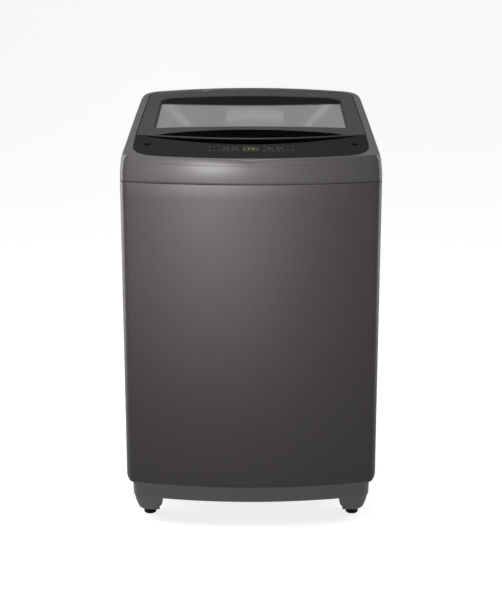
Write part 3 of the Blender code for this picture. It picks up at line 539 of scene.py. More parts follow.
def leg(name, side, front):
    """The rings from the foot's height up into the base, mirrored in x, and in y for a rear leg."""
    slimmer = 0 if front else REAR_SLIMMER
    rings = np.stack([leg_ring(z, slimmer) for z in np.linspace(LEG_LEVELS[0], LEG_LEVELS[-1], 36)])
    rings[..., 0] *= side
    if not front:
        rings[..., 1] = 0.027 - rings[..., 1]
    return sweep(name, rings, loop=False)


FOOT_X = 0.245
FOOT_PLACES = {"front_left": (-1, -0.188), "front_right": (1, -0.188),
               "rear_left": (-1, 0.215), "rear_right": (1, 0.215)}
for corner, (side, y) in FOOT_PLACES.items():
    dress(leg("leg_" + corner, side, y < 0), "cabinet", base_plastic)

# %% [markdown]
# ## Levelling feet
#
# Each leg stands on a rubber pad with a dark nut and a threaded stud, so that the machine can be set
# level. All three are turned shapes. The thread is a triangle wave that climbs one pitch in each turn,
# which a ripple of the radius gives without a true helix mesh.

# %% Feet
def thread(pitch, tall):
    """Moves the radius by a triangle wave of height less one pitch per turn."""
    def ripple(radius, height, turn):
        wave = np.abs((height / pitch - turn / (2 * math.pi)) % 1 - 0.5) * 2
        return radius - tall * wave * (radius > 0.003), height
    return ripple


def hexagon(radius, height, turn):
    """Moves the outer radius out to a hexagon with the same width across its flats."""
    return np.where(radius > 0.006, radius * hexagon_reach(turn), radius), height


PAD = [(0, 0), (0.0135, 0), (0.0147, 0.0012), (0.0150, 0.0030), (0.0144, 0.0037), (0.0150, 0.0045),
       (0.0150, 0.0075), (0.0144, 0.0082), (0.0150, 0.0090), (0.0147, 0.0110), (0.0125, 0.0138),
       (0.0060, 0.0142), (0, 0.0142)]
NUT = [(0.0052, 0.0144), (0.0108, 0.0144), (0.0113, 0.0150), (0.0113, 0.0182), (0.0108, 0.0187),
       (0.0052, 0.0187)]
STUD = [(0, 0.0143)] + [(0.0050, z) for z in np.linspace(0.0143, 0.066, 80)]
STUD += [(0.0035, 0.0690), (0, 0.0690)]
for corner, (side, y) in FOOT_PLACES.items():
    place = (side * FOOT_X, y)
    pad = turned("foot_pad_" + corner, PAD, place, 48)
    dress(pad, "foot_" + corner, rubber, "leveling_foot_" + corner)
    nut = turned("foot_nut_" + corner, NUT, place, 48, hexagon)
    dress(nut, "foot_" + corner, key_black)
    stud = turned("foot_stud_" + corner, STUD, place, 24, thread(0.00125, 0.0006))
    dress(stud, "foot_" + corner, bright_steel)

# %% [markdown]
# ## The top cover's outer band
#
# The cover starts at the seam, goes up with walls that lean in, turns over a soft shoulder and ends at
# the pocket in which the panel and the lid lie. It is again one section carried round the machine, but
# its inner edge follows another outline: the panel in front, the lid behind. Both outlines have the
# same five stretches, so a point on one always has its partner on the other.

# %% Wall, crest and pocket outlines
SHOULDER_DOWN, SHOULDER_IN = 0.0145, 0.0085
SEAM_MASK = np.where((STRETCH == 2) & (np.abs(ALONG - LID_SEAM_ALONG) < 0.0010), 1.0, 0.0)


def wall(z, inset=0.0):
    """The cover's outline at a height: it leans in at the front and sides, and stands upright behind."""
    return plan(inset + lean(z), REAR_Y - inset, 0.040 - inset / 2)


def crest():
    """Where the wall meets the top skin, found by putting each height back into the skin's formula."""
    z = np.full(ALONG.shape, 0.92)
    for _ in range(12):
        xy = wall(z)
        z = top_z(xy[:, 0], xy[:, 1])
    return xy, z


def pocket(clearance=0.0005):
    """Inner edge of the band: round the panel in front of the seam, round the lid behind it."""
    t, half = ALONG, PANEL_HALF + clearance
    y_front = PANEL_FRONT_Y - 0.004 - clearance
    start = y_front + BOW * (PANEL_CORNER_X / HALF_WIDTH) ** 2
    side_y = plan()[:, 1] + (PANEL_CORNER_Y - SIDE_START_Y) * (1 - smooth(t / 0.30))
    side_y = side_y - 0.016 * smooth((t - 0.90) / 0.10)
    side_x = np.minimum(half, lid_side(side_y, 0.0012))
    last = float(np.minimum(half, lid_side(LID_REAR_Y - 0.03, 0.0012)))
    x = pick(PANEL_CORNER_X * t, bezier(PANEL_CORNER_X, half, half, t), side_x,
             bezier(last, last, last - 0.03, t), (last - 0.03) * (1 - t))
    y = pick(y_front + BOW * (PANEL_CORNER_X * t / HALF_WIDTH) ** 2,
             bezier(start, start + 0.010, PANEL_CORNER_Y, t), side_y,
             bezier(LID_REAR_Y - 0.03, STRIP_Y, STRIP_Y, t), STRIP_Y)
    return np.stack([x, y], -1)


print("crest: from", round(float(crest()[1].min()), 4), "to", round(float(crest()[1].max()), 4), "m high")


# %% Cover band
def cover_columns():
    """The section from the seam up the wall, over the shoulder and the rim, down the pocket and back."""
    edge, edge_z = crest()
    inner = pocket()
    low = SEAM_Z + 0.0003
    groove = 0.0007 * SEAM_MASK
    columns = [at(wall(low, 0.0016), low), at(wall(low + 0.0006, 0.0004 + groove), low + 0.0006),
               at(wall(low + 0.0016, groove), low + 0.0016)]
    top = edge_z - SHOULDER_DOWN
    for share in np.linspace(0.12, 0.90, 7):
        z = low + (top - low) * share
        columns.append(at(wall(z, groove), z))
    for down, dent in ((0.0024, 0), (0.0018, 0.0005), (0.0012, 0.0005), (0.0005, 0)):
        columns.append(at(wall(top - down, dent + groove), top - down))
    reach = np.linalg.norm(inner - edge, axis=1)[:, None]
    inward = (inner - edge) / reach
    start = at(wall(top), top)
    landing = edge + inward * SHOULDER_IN
    end = on_skin(landing)
    bend = at(edge, edge_z)
    for t in np.linspace(0, 1, 11):
        point = bezier(start, bend, end, t)
        columns.append(point + np.column_stack([-groove * np.sign(point[:, 0]), 0 * groove, -groove * t]))
    lip = 0.0009
    for share in (0.35, 0.7, 1.0):
        columns.append(on_skin(landing + (inner - inward * lip - landing) * share, groove))
    skin = top_z(inner[:, 0], inner[:, 1])
    deep = DECK_DROP + 0.0003
    drop = pick(0.0050, 0.0050, np.where(plan()[:, 1] < LID_SEAM_Y - 0.0022, 0.0050, deep), deep, deep)
    columns.append(at(inner - inward * 0.0003, skin - 0.0003 - groove))
    columns.append(at(inner, skin - 0.0012 - groove))
    columns.append(at(inner, skin - drop))
    columns.append(at(inner - inward * 0.0022, skin - drop))
    columns.append(at(wall(edge_z - 0.020, 0.004), edge_z - 0.020))
    columns.append(at(wall(low, 0.004), low))
    return columns


band = sweep("cover_band", both_sides(cover_columns()))
INLETS = {"hot": -0.165, "cold": -0.125}
carve(band, *(along_y(name + "_way", x, 0.872, 0.0145, 0.28, 0.31) for name, x in INLETS.items()))
dress(band, "cabinet", cover_paint, "top_cover")

# %% [markdown]
# ## The deck and the mouth
#
# Under the lid lies a flat deck with the round loading mouth, which is cut off straight behind the
# hand recess and has a short neck down to the drum. Deck and mouth have quite different outlines, so
# both are read as a distance from one middle point at each angle: the surface is then simply a blend
# from one distance to the other.

# %% Deck with mouth and neck
MIDDLE = np.array([0.0, 0.06])
RAYS = np.linspace(0, 2 * math.pi, 480, endpoint=False)


def reach_of(outline):
    """Distance from the middle point to a closed outline, at each of the rays, by interpolation."""
    away = outline - MIDDLE
    turn = np.arctan2(away[:, 1], away[:, 0]) % (2 * math.pi)
    order = np.argsort(turn)
    return np.interp(RAYS, turn[order], np.hypot(*away.T)[order], period=2 * math.pi)


def deck_outline():
    """The lid's pocket behind the seam, closed in front by a line just behind the hand recess."""
    y = np.linspace(-0.1012, LID_REAR_Y - 0.03, 120)
    x = lid_side(y, 0.0012)
    t = np.linspace(0, 1, 24)[1:]
    turn = np.column_stack([bezier(x[-1], x[-1], x[-1] - 0.03, t), bezier(y[-1], STRIP_Y, STRIP_Y, t)])
    back = np.column_stack([np.linspace(turn[-1, 0], 0, 60)[1:], np.full(59, STRIP_Y)])
    across = np.linspace(0, x[0], 120)[:-1]
    front = np.column_stack([across, DECK_FRONT_Y - 0.0067 * smooth((across - 0.2345) / 0.003)])
    right = np.concatenate([front, np.column_stack([x, y]), turn, back])
    return np.concatenate([right, right * (-1, 1)])


def mouth_outline():
    """A circle over the drum with its front cut off straight."""
    turn = np.linspace(0, 2 * math.pi, 720, endpoint=False)
    x, y = MOUTH_RADIUS * np.cos(turn), AXIS_Y + MOUTH_RADIUS * np.sin(turn)
    flat = np.linspace(-0.16, 0.16, 200)
    ring = np.column_stack([x, y])[y > MOUTH_FRONT_Y]
    last = math.sqrt(MOUTH_RADIUS**2 - (MOUTH_FRONT_Y - AXIS_Y) ** 2)
    cut = np.column_stack([flat, np.full(200, MOUTH_FRONT_Y)])[np.abs(flat) < last]
    return np.concatenate([ring, cut])


def deck_rows():
    """Section from the pocket in to the mouth, round its lip, down the neck and back underneath."""
    outer, mouth = reach_of(deck_outline()), reach_of(mouth_outline())
    heading = np.column_stack([np.cos(RAYS), np.sin(RAYS)])
    width = outer - mouth

    def ring(distance, drop):
        return on_skin(MIDDLE + heading * distance[:, None], drop)

    def neck(distance, z):
        return at(MIDDLE + heading * distance[:, None], z)

    lip = np.minimum(0.007, width * 0.8)
    columns = [ring(outer, DECK_DROP)]
    columns += [ring(mouth + lip + (width - lip) * share, DECK_DROP) for share in (0.75, 0.5, 0.25)]
    t = np.linspace(0, 1, 7)
    columns += [ring(mouth + lip * (1 - a) ** 2, DECK_DROP + 0.007 * b) for a, b in zip(t, t**2)]
    columns += [neck(mouth, z) for z in (0.880, 0.860, 0.8353)]
    columns += [neck(mouth + 0.004, 0.8353), neck(mouth + 0.004, 0.880)]
    columns += [ring(mouth + 0.0045, DECK_DROP + 0.0055), ring(outer, DECK_DROP + 0.0055)]
    return np.stack(columns, 1)


deck = sweep("lid_deck", deck_rows())
carve(deck, rounded_box("drawer_way", (-0.070, 0.17, 0.852), (0.070, 0.245, 0.897)))
dress(deck, "cabinet", cover_paint)

# %% [markdown]
# ## The hand recess
#
# Between the panel and the lid there is a hollow for the fingers. Its near black is partly its own
# black plastic and partly painted shade of the deep hollow. It is a shell whose floor drops quickly
# behind the panel and then runs level under the lid's edge, and which closes at its two ends. The shell
# is worked out as heights over a grid of width and depth.

# %% Hand recess
def scoop_rows():
    """For each x a closed section: the hollow's floor from front to back, and the same 2 mm lower."""
    x = 0.2368 * np.sin(np.linspace(-1, 1, 121) * math.pi / 2)[:, None]
    t = np.linspace(0, 1, 25)[None]
    front = recess_front(x) + 0.0005
    y = front + (DECK_FRONT_Y - front) * t
    closing = 1 - np.abs(x / 0.2368) ** 40
    drop = 0.0046 + (0.0192 * smooth(t / 0.30)) * closing + (0.0176 * (1 - closing)) * smooth(t / 0.9)
    floor = top_z(x, y) - drop
    return closed_section((x, y, floor), (x, y, floor - 0.002))


scoop = sweep("hand_scoop", scoop_rows(), loop=False)
# The hollow's near-black finish is partly painted shade.
dress(scoop, "cabinet", black_and_painted_shade)

# %% [markdown]
# ## The control panel
#
# The panel is a glossy black plate that follows the bowed front and ends at the hand recess. Its front
# corners are curves, so its front edge is worked out by solving that curve for x. The seats of the
# buttons, the keys and the display are real holes: a Boolean is the plain way to get a clean rim.

# %% Control panel plate
KEY_Y = -0.217
KEY_PLACES = {"program_key": -0.058, "water_key": -0.036, "rinse_key": 0.042, "spin_key": 0.064}
BUTTON_PLACES = {"power_button": (-0.236, -0.181), "start_button": (0.236, -0.181)}


def panel_front(x):
    """The bowed front edge out to the corner, then the corner curve solved for x."""
    x = np.abs(x)
    bowed = PANEL_FRONT_Y - 0.004 + BOW * (x / HALF_WIDTH) ** 2
    start = PANEL_FRONT_Y - 0.004 + BOW * (PANEL_CORNER_X / HALF_WIDTH) ** 2
    t = 1 - np.sqrt(np.clip((PANEL_HALF - x) / (PANEL_HALF - PANEL_CORNER_X), 0, 1))
    return np.where(x < PANEL_CORNER_X, bowed, bezier(start, start + 0.010, PANEL_CORNER_Y, t))


def panel_rows():
    """For each x a closed section: up over a soft front edge, back along the skin, down and under."""
    x = PANEL_HALF * np.sin(np.linspace(-1, 1, 181) * math.pi / 2)[:, None]
    front = panel_front(x)
    rear = recess_front(x) + (-0.104 - recess_front(x)) * smooth((np.abs(x) - 0.240) / 0.002)
    inner = np.linspace(0.0016, 1, 26)[None]
    middle = front + (rear - front - 0.0011) * inner[:, 1:-1]
    y = np.concatenate([front, front + 0.0003, front + 0.0011, middle, rear - 0.0011, rear - 0.0003, rear], 1)
    drop = np.zeros(y.shape[1])
    drop[:3], drop[-3:] = (0.0012, 0.0004, 0), (0, 0.0004, 0.0012)
    skin = top_z(x, y)
    return closed_section((x, y, skin - drop), (x, y, skin - 0.004))


def pillar(name, place, radius, low=0.86, high=0.95):
    """An upright round bar, used to cut a round way."""
    return turned(name, [(0, low), (radius, low), (radius, high), (0, high)], place, 48)


panel = sweep("control_plate", panel_rows(), loop=False)
seats = [pillar("seat_" + name, place, 0.0079) for name, place in BUTTON_PLACES.items()]
seats += [rounded_box("seat_" + name, (x - 0.0084, KEY_Y - 0.0054, 0.86),
                      (x + 0.0084, KEY_Y + 0.0054, 0.95), 0.0015) for name, x in KEY_PLACES.items()]
seats.append(rounded_box("seat_display", (-0.0205, -0.2405, 0.86), (0.0205, -0.2005, 0.95), 0.0015))
carve(panel, *seats)
dress(panel, "cabinet", panel_black, "control_panel")

# %% [markdown]
# ## Buttons, keys and display
#
# The two round buttons have a shallow dish for the fingertip. The keys are thin caps with rounded
# corners, each on a stem. The display is a smoked lens: two lit figures stand in it, each made of
# seven bars, with a row of small lit dots beside them. Marks beside the keys are plain dashes.

# %% Caps
def patch(name, x_range, y_range, drop, thick, radius, dish=0.0):
    """A thin cap on the top skin: nested rounded rectangles, the outer ones lower, and a foot."""
    (x0, x1), (y0, y1) = x_range, y_range
    cx, cy, hx, hy = (x0 + x1) / 2, (y0 + y1) / 2, (x1 - x0) / 2, (y1 - y0) / 2
    steps = np.linspace(0, math.pi / 2, 6)
    turn = (steps[None] + np.arange(4)[:, None] * math.pi / 2).reshape(-1)
    sx, sy = np.repeat([1, -1, -1, 1], 6), np.repeat([1, 1, -1, -1], 6)
    ux, uy = sx * (hx - radius) + radius * np.cos(turn), sy * (hy - radius) + radius * np.sin(turn)
    soft = min(0.0006, thick / 2)
    levels = [(0.0, 0, dish), (0.35, 0, dish * 0.8), (0.70, 0, dish * 0.3), (1.0, -soft, 0), (1.0, 0, soft),
              (1.0, 0, thick), (0.0, 0, thick)]
    columns = []
    for share, inset, down in levels:
        scale_x, scale_y = share * (hx + inset) / hx, share * (hy + inset) / hy
        columns.append(on_skin(np.column_stack([cx + ux * scale_x, cy + uy * scale_y]), drop + down))
    return sweep(name, np.stack(columns, 1))


for name, x in KEY_PLACES.items():
    cap = patch(name + "_cap", (x - 0.008, x + 0.008), (KEY_Y - 0.005, KEY_Y + 0.005),
                0.0003, 0.0042, 0.0014, 0.0004)
    dress(cap, name, key_black, name)
DISH = [(0, -0.0150), (0.0030, -0.0150), (0.0030, -0.0060), (0.0074, -0.0058), (0.0075, -0.0022),
        (0.0073, -0.0015), (0.0067, -0.0011), (0.0060, -0.0012), (0.0045, -0.0018), (0.0025, -0.0022),
        (0, -0.0023)]
HALO = [(0.0084, 0.0001), (0.0096, 0.0001), (0.0096, -0.0006), (0.0084, -0.0006)]
for name, (x, y) in BUTTON_PLACES.items():
    skin = float(top_z(x, y))
    cap = turned(name + "_cap", [(r, skin + z) for r, z in DISH], (x, y), 64)
    dress(cap, name, black_and_painted_shade, name)
    halo = turned(name + "_ring", [(r, skin + z) for r, z in HALO], (x, y), 64,
                  lambda r, z, a: (r, z + top_z(x + r * np.cos(a), y + r * np.sin(a)) - top_z(x, y)))
    dress(halo, "cabinet", black_and_painted_shade)

# %% Display
window = patch("display_lens", (-0.020, 0.020), (-0.240, -0.201), 0.0004, 0.0030, 0.0012)
dress(window, "cabinet", lens, "display_window")


def bars(name, places, lift=0.00006):
    """Many small rounded plates (x, y, half x, half y) just over the display or the panel, as one mesh."""
    turn = (np.arange(8) + 0.5) * math.pi / 4
    circle = np.stack([np.cos(turn), np.sin(turn)], -1)
    unit = np.sign(circle) * np.abs(circle) ** 0.5
    places = np.asarray(places, float)
    xy = places[:, None, :2] + unit[None] * places[:, None, 2:]
    z = top_z(xy[..., 0], xy[..., 1])
    upper = np.concatenate([xy, (z + lift)[..., None]], -1)
    lower = np.concatenate([xy, (z - 0.0006)[..., None]], -1)
    count = len(places)
    base = np.arange(count)[:, None] * 16
    ring = np.arange(8)
    after = (ring + 1) % 8
    sides = np.stack([base + ring, base + after, base + 8 + after, base + 8 + ring], -1)
    faces = sides.reshape(-1, 4).tolist()
    faces += (base + ring[::-1]).tolist() + (base + 8 + ring).tolist()
    return solid(name, np.concatenate([upper, lower], 1), faces)


def figure(x, y, lit):
    """Plates of a seven bar figure around (x, y); lit holds a 1 for each bar that is on."""
    wide, tall, thin = 0.0022, 0.0026, 0.00055
    every = [(x, y + 2 * tall, wide - thin, thin), (x + wide, y + tall, thin, tall - thin),
             (x + wide, y - tall, thin, tall - thin), (x, y - 2 * tall, wide - thin, thin),
             (x - wide, y - tall, thin, tall - thin), (x - wide, y + tall, thin, tall - thin),
             (x, y, wide - thin, thin)]
    return [bar for bar, on in zip(every, lit) if on]


digits = figure(-0.0045, -0.2205, (1, 1, 0, 1, 1, 0, 1)) + figure(0.0045, -0.2205, (1, 0, 1, 1, 0, 1, 1))
digits += [(-0.0155, y, 0.0010, 0.0010) for y in (-0.2260, -0.2205, -0.2150)]
digits += [(0.0155, -0.2260, 0.0010, 0.0010)]
dress(bars("display_figures", digits, 0.0002), "cabinet", lit_bars)
dashes = []
for side in (-1, 1):
    for step in range(7):
        x = side * (0.030 + 0.0105 * step)
        dashes += [(x, -0.2360, 0.0034, 0.0008), (x, -0.2300, 0.0026 - 0.0006 * (step % 2), 0.0006)]
        dashes += [(x, -0.2030, 0.0034 - 0.0008 * (step % 3), 0.0007)]
dashes += [(x, -0.2435 + BOW * (x / HALF_WIDTH) ** 2, 0.0007, 0.0007) for x in (-0.16, -0.15, 0.15, 0.16)]
dress(bars("panel_marks", dashes), "cabinet", marks_grey)

# %% [markdown]
# ## The lid
#
# The lid is a moulded frame around a glass pane. Its outline and the window's outline again share
# their stretches, so the frame is one section swept between the two. In front it dips under a black
# finger band. The dip is as deep as the band and shrinks to nothing towards the corners.

# %% Outlines of lid and window
WINDOW_HALF, WINDOW_FRONT_Y, WINDOW_REAR_Y = 0.2275, -0.046, 0.220


def lid_edge(inset=0.0):
    """Lid outline: parabola, short run to the corner, leaning side, curved corner, straight back."""
    t = ALONG
    x_front = 0.25 * t
    corner = float(lid_side(LID_SEAM_Y))
    side_y = LID_SEAM_Y + (LID_REAR_Y - 0.03 - LID_SEAM_Y) * t
    last = float(lid_side(LID_REAR_Y - 0.03)) - inset
    rear, turn = LID_REAR_Y - inset, LID_REAR_Y - 0.03
    x = pick(x_front, 0.25 + (corner - inset - 0.25) * t, lid_side(side_y) - inset,
             bezier(last, last, last - 0.03, t), (last - 0.03) * (1 - t))
    y = pick(lid_lip(x_front) + inset, LID_SEAM_Y + inset, side_y + inset * (1 - t),
             bezier(turn, rear, rear, t), rear)
    return np.stack([x, y], -1)


def window_edge(grow=0.0):
    """Window outline: straight front, small corner, side, larger rear corner, straight back."""
    t, half = ALONG, WINDOW_HALF + grow
    front, rear = WINDOW_FRONT_Y - grow, WINDOW_REAR_Y + grow
    x = pick((half - 0.006) * t, bezier(half - 0.006, half, half, t), half - 0.003 * t,
             bezier(half - 0.003, half - 0.004, half - 0.030, t), (half - 0.030) * (1 - t))
    first, last = front + 0.006, rear - 0.025
    y = pick(front, bezier(front, front, first, t), first + (last - first) * t,
             bezier(last, rear, rear, t), rear)
    return np.stack([x, y], -1)


def band_rear(x):
    """Rear edge of the finger band: a parabola that closes on the lid's lip at the band's ends."""
    return np.maximum(-0.066 - 0.034 * (x / 0.235) ** 2 - 0.012 * (x / 0.222) ** 10, lid_lip(x) + 0.0036)


print("window:", 2 * WINDOW_HALF, "by", WINDOW_REAR_Y - WINDOW_FRONT_Y, "m")

# %% Lid frame
def lid_columns():
    """The section: up the outer edge, over it, through the dip, across to the window, down and back."""
    inner, start = window_edge(), lid_edge(0.0030)
    edge = ((0.0, 0.018), (0.0, 0.0024), (0.0002, 0.0012), (0.0009, 0.0003), (0.0020, 0.0))
    columns = [on_skin(lid_edge(inset), drop) for inset, drop in edge]
    x = np.abs(start[:, 0])
    deep = np.where((STRETCH == 0) & (x < 0.2195), 0.0084, 0.0)
    end = start.copy()
    end[:, 1] = np.where(deep > 0, np.minimum(band_rear(x), WINDOW_FRONT_Y - 0.004), start[:, 1])
    dip = ((0.0, 0.0), (0.02, deep), (0.5, deep), (0.98, deep), (1.0, 0.0))
    columns += [on_skin(start + (end - start) * share, drop) for share, drop in dip]
    toward = inner - end
    columns += [on_skin(end + toward * share) for share in (0.25, 0.5, 0.75)]
    inward = toward / np.linalg.norm(toward, axis=1)[:, None]
    rim = ((0.0014, 0.0), (0.0004, 0.0004), (0.0, 0.0014), (0.0, 0.0160), (0.0015, 0.018))
    columns += [on_skin(inner - inward * back, drop) for back, drop in rim]
    return columns


frame_piece = sweep("lid_skin", both_sides(lid_columns()))
ears = [rounded_box("ear_way_" + str(side), (min(side * 0.1045, side * 0.1255), 0.2630, 0.90),
                    (max(side * 0.1045, side * 0.1255), 0.2900, 1.0), 0.001) for side in (-1, 1)]
carve(frame_piece, *ears)
dress(frame_piece, "lid", lid_paint, "lid_frame")

# %% [markdown]
# ## Bands, gasket and pane
#
# Four pieces share one idea: a crowned slab over a grid of x and depth, whose front and rear edges are
# any two functions of x. The finger band is one, hollowed a little. A narrow skirt closes the lid's
# front edge above the hand recess; its near black is painted shade under the lid's lip. The dark band
# along the pane's rear edge has a bowed front, and the pane itself lies between straight edges.

# %% Crowned slabs
def slab(name, half, front, rear, upper, lower, across=121, deep=21, soft=0.0006):
    """A slab between two edges given as functions of x, under the skin by upper(x, t) and lower."""
    x = half * np.sin(np.linspace(-1, 1, across) * math.pi / 2)[:, None]
    t = np.linspace(0, 1, deep)[None]
    y0, y1 = front(x), rear(x)
    y = y0 + (y1 - y0) * t
    edge = np.zeros(deep)
    edge[[0, -1]] = soft
    skin = top_z(x, y)
    return sweep(name, closed_section((x, y, skin - upper(x, t) - edge), (x, y, skin - lower)), loop=False)


handle = slab("finger_band", 0.2188, lambda x: lid_lip(x) + 0.0034, lambda x: band_rear(x) - 0.0004,
              lambda x, t: 0.0012 + 0.0030 * np.sin(math.pi * t) * (1 - (x / 0.2188) ** 2), 0.0082)
dress(handle, "lid", black_and_painted_shade, "lid_handle")
# The skirt's near black is painted shade under the lid's lip.
skirt = slab("lip_skirt", 0.2370, lambda x: lid_lip(x) - 0.0005, lambda x: lid_lip(x) + 0.0012,
             lambda x, t: 0.0022 + 0 * x * t, 0.0184, deep=3)
dress(skirt, "lid", black_and_painted_shade)


def rear_band_front(x):
    """Bowed front edge of the dark rear band, which meets the window's sides near its rear corners."""
    return 0.150 + 0.037 * (x / 0.225) ** 2


rear_band = slab("rear_band", 0.2235, rear_band_front,
                 lambda x: WINDOW_REAR_Y - 0.0008 - 0.020 * smooth((np.abs(x) - 0.196) / 0.030),
                 lambda x, t: 0.0012 - 0.0006 * smooth(t), 0.0032, soft=0.0004)
dress(rear_band, "lid", band_black)
pane = slab("glass_pane", WINDOW_HALF - 0.0034, lambda x: WINDOW_FRONT_Y + 0.0010 + 0 * x,
            lambda x: WINDOW_REAR_Y - 0.0010 - 0.020 * smooth((np.abs(x) - 0.198) / 0.027),
            lambda x, t: 0.0035 + 0 * x * t, 0.0085, 97, 33, 0.0004)
dress(pane, "lid", glass, "lid_glass")

# %% Gasket round the pane
def gasket_columns():
    """A thin round cornered section swept between the window's edge and the glass."""
    shape = [(-0.0003, 0.0016), (-0.0018, 0.0020), (-0.0030, 0.0028), (-0.0033, 0.0040), (-0.0033, 0.0088),
             (-0.0003, 0.0088)]
    return [on_skin(window_edge(grow), drop) for grow, drop in shape]


dress(sweep("glass_gasket", both_sides(gasket_columns())), "lid", rubber)

# %% [markdown]
# ## The hinge ears
#
# Two ears stand up from the deck and hold the pins that the lid swings on. An ear is a plate with a
# round top about the pin, so its outline is a half circle over a straight foot.

# %% Hinge ears
def ear(name, x_low, x_high):
    """An outline in (y, z), a half circle over two straight sides, carried along x."""
    turn = np.linspace(0, math.pi, 25)
    y = np.concatenate([0.2775 + 0.0068 * np.cos(turn), [0.2690, 0.2860]])
    z = np.concatenate([0.9462 + 0.0066 * np.sin(turn), [0.9255, 0.9255]])
    rows = [np.column_stack([np.full(len(y), x), y, z]) for x in (x_low, x_high)]
    return sweep(name, np.stack(rows), loop=False)


for name, side in (("hinge_ear_left", -1), ("hinge_ear_right", 1)):
    low, high = sorted((side * 0.1065, side * 0.1235))
    dress(ear(name, low, high), "cabinet", cover_paint)

# %% [markdown]
# ## The drum
#
# The drum's wall is thin steel with more than a thousand small holes. One tile of wall with one hole
# has only twenty four faces. All the tiles are laid out at once by adding every tile's corner to the
# tile's own points, rolled up into a cylinder by a change of coordinates, and welded where they meet.

# %% Perforated wall
DRUM_RADIUS, DRUM_BOTTOM, DRUM_TOP = 0.232, 0.285, 0.745
TILES_ROUND, TILES_HIGH = 72, 18


def drum_wall():
    """Tiles of a flat sheet, each a square ring round an eight sided hole, rolled to a cylinder."""
    turn = np.arange(8) * math.pi / 4
    square = np.array([(1, 0.5), (1, 1), (0.5, 1), (0, 1), (0, 0.5), (0, 0), (0.5, 0), (1, 0)], float)
    hole = 0.5 + 0.10 * np.column_stack([np.cos(turn), np.sin(turn) * 0.82])
    tile = np.concatenate([square, hole])
    u = np.arange(TILES_ROUND)[:, None, None] + tile[:, 0]
    v = np.arange(TILES_HIGH)[None, :, None] + tile[:, 1]
    angle = (u + 0 * v) * 2 * math.pi / TILES_ROUND
    low, high = DRUM_BOTTOM + 0.045, DRUM_TOP - 0.004
    z = low + (high - low) * (v + 0 * u) / TILES_HIGH
    flute = 0.0006 * np.cos(12 * angle)
    skins = []
    for radius in (DRUM_RADIUS - 0.0007, DRUM_RADIUS - 0.0017):
        r = radius + flute
        skins.append(np.stack([r * np.cos(angle), AXIS_Y + r * np.sin(angle), z], -1))
    points = np.stack(skins, 2).reshape(-1, 3)
    base = np.arange(TILES_ROUND * TILES_HIGH)[:, None] * 32
    k, n = np.arange(8), (np.arange(8) + 1) % 8
    outer = np.stack([base + k, base + n, base + 8 + n, base + 8 + k], -1)
    inner = np.stack([base + 16 + n, base + 16 + k, base + 24 + k, base + 24 + n], -1)
    rim = np.stack([base + 8 + k, base + 8 + n, base + 24 + n, base + 24 + k], -1)
    faces = np.concatenate([outer, inner, rim]).reshape(-1, 4)
    per_column = TILES_HIGH * 32
    columns = np.arange(TILES_ROUND)[:, None] * per_column
    last = (TILES_HIGH - 1) * 32
    ends = ((0, (5, 6, 22, 21)), (0, (6, 7, 23, 22)), (last, (1, 2, 18, 17)), (last, (2, 3, 19, 18)))
    closing = [np.stack([columns + row + a for a in loop], -1).reshape(-1, 4) for row, loop in ends]
    return solid("drum_wall", points, np.concatenate([faces, *closing]).tolist(), 50)


dress(drum_wall(), "drum", steel, "drum_shell")
FOOT = [(0.2188, 0.2852), (0.2212, 0.2850), (0.2240, 0.2950), (0.2275, 0.3100), (0.2308, 0.3240),
        (0.2318, 0.3300), (0.2318, 0.3320), (0.2306, 0.3320), (0.2300, 0.3250), (0.2264, 0.3100),
        (0.2228, 0.2955)]
dress(turned("drum_foot", FOOT, (0, AXIS_Y), 144), "drum", steel)
HEM = [(0.2298, 0.7405), (0.2316, 0.7405), (0.2319, 0.7430), (0.2316, 0.7450), (0.2298, 0.7450),
       (0.2292, 0.7430)]
dress(turned("drum_hem", HEM, (0, AXIS_Y), 144), "drum", steel)

# %% [markdown]
# ## Balance ring, tub rim and pulsator
#
# The ring over the drum, the ring that closes the tub and the pulsator are all turned shapes. The
# balance ring gets a ripple of small notches along its top, and the pulsator four raised vanes: each
# is a bump in the height that depends on how far a point lies from the vane's middle line.

# %% Rings
def notches(radius, height, turn):
    """Lowers the ring's top in narrow notches at 36 places."""
    on_top = (height > 0.7935) * (radius > 0.203) * (radius < 0.226)
    return radius, height - 0.0012 * smooth((np.cos(36 * turn) - 0.86) / 0.12) * on_top


RING = [(0.1962, 0.7515), (0.1990, 0.7470), (0.2030, 0.7454), (0.2300, 0.7454), (0.2338, 0.7470),
        (0.2340, 0.7860), (0.2335, 0.7895), (0.2305, 0.7935), (0.2270, 0.7948), (0.2250, 0.7950),
        (0.2180, 0.7950), (0.2100, 0.7950), (0.2040, 0.7950), (0.2010, 0.7948), (0.1975, 0.7930),
        (0.1955, 0.7895), (0.1951, 0.7850), (0.1951, 0.7600)]
balance = turned("ring_of_balance", RING, (0, AXIS_Y), 432, notches)
dress(balance, "drum", pale_plastic, "balance_ring")
RIM_RING = [(0.1992, 0.8006), (0.2540, 0.8004), (0.2566, 0.8012), (0.2570, 0.8050), (0.2550, 0.8062),
            (0.2300, 0.8092), (0.2240, 0.8102), (0.2080, 0.8103), (0.2020, 0.8100), (0.1994, 0.8085),
            (0.1990, 0.8060)]
dress(turned("tub_rim", RIM_RING, (0, AXIS_Y), 144), "tub", white_plastic, "tub_cover")

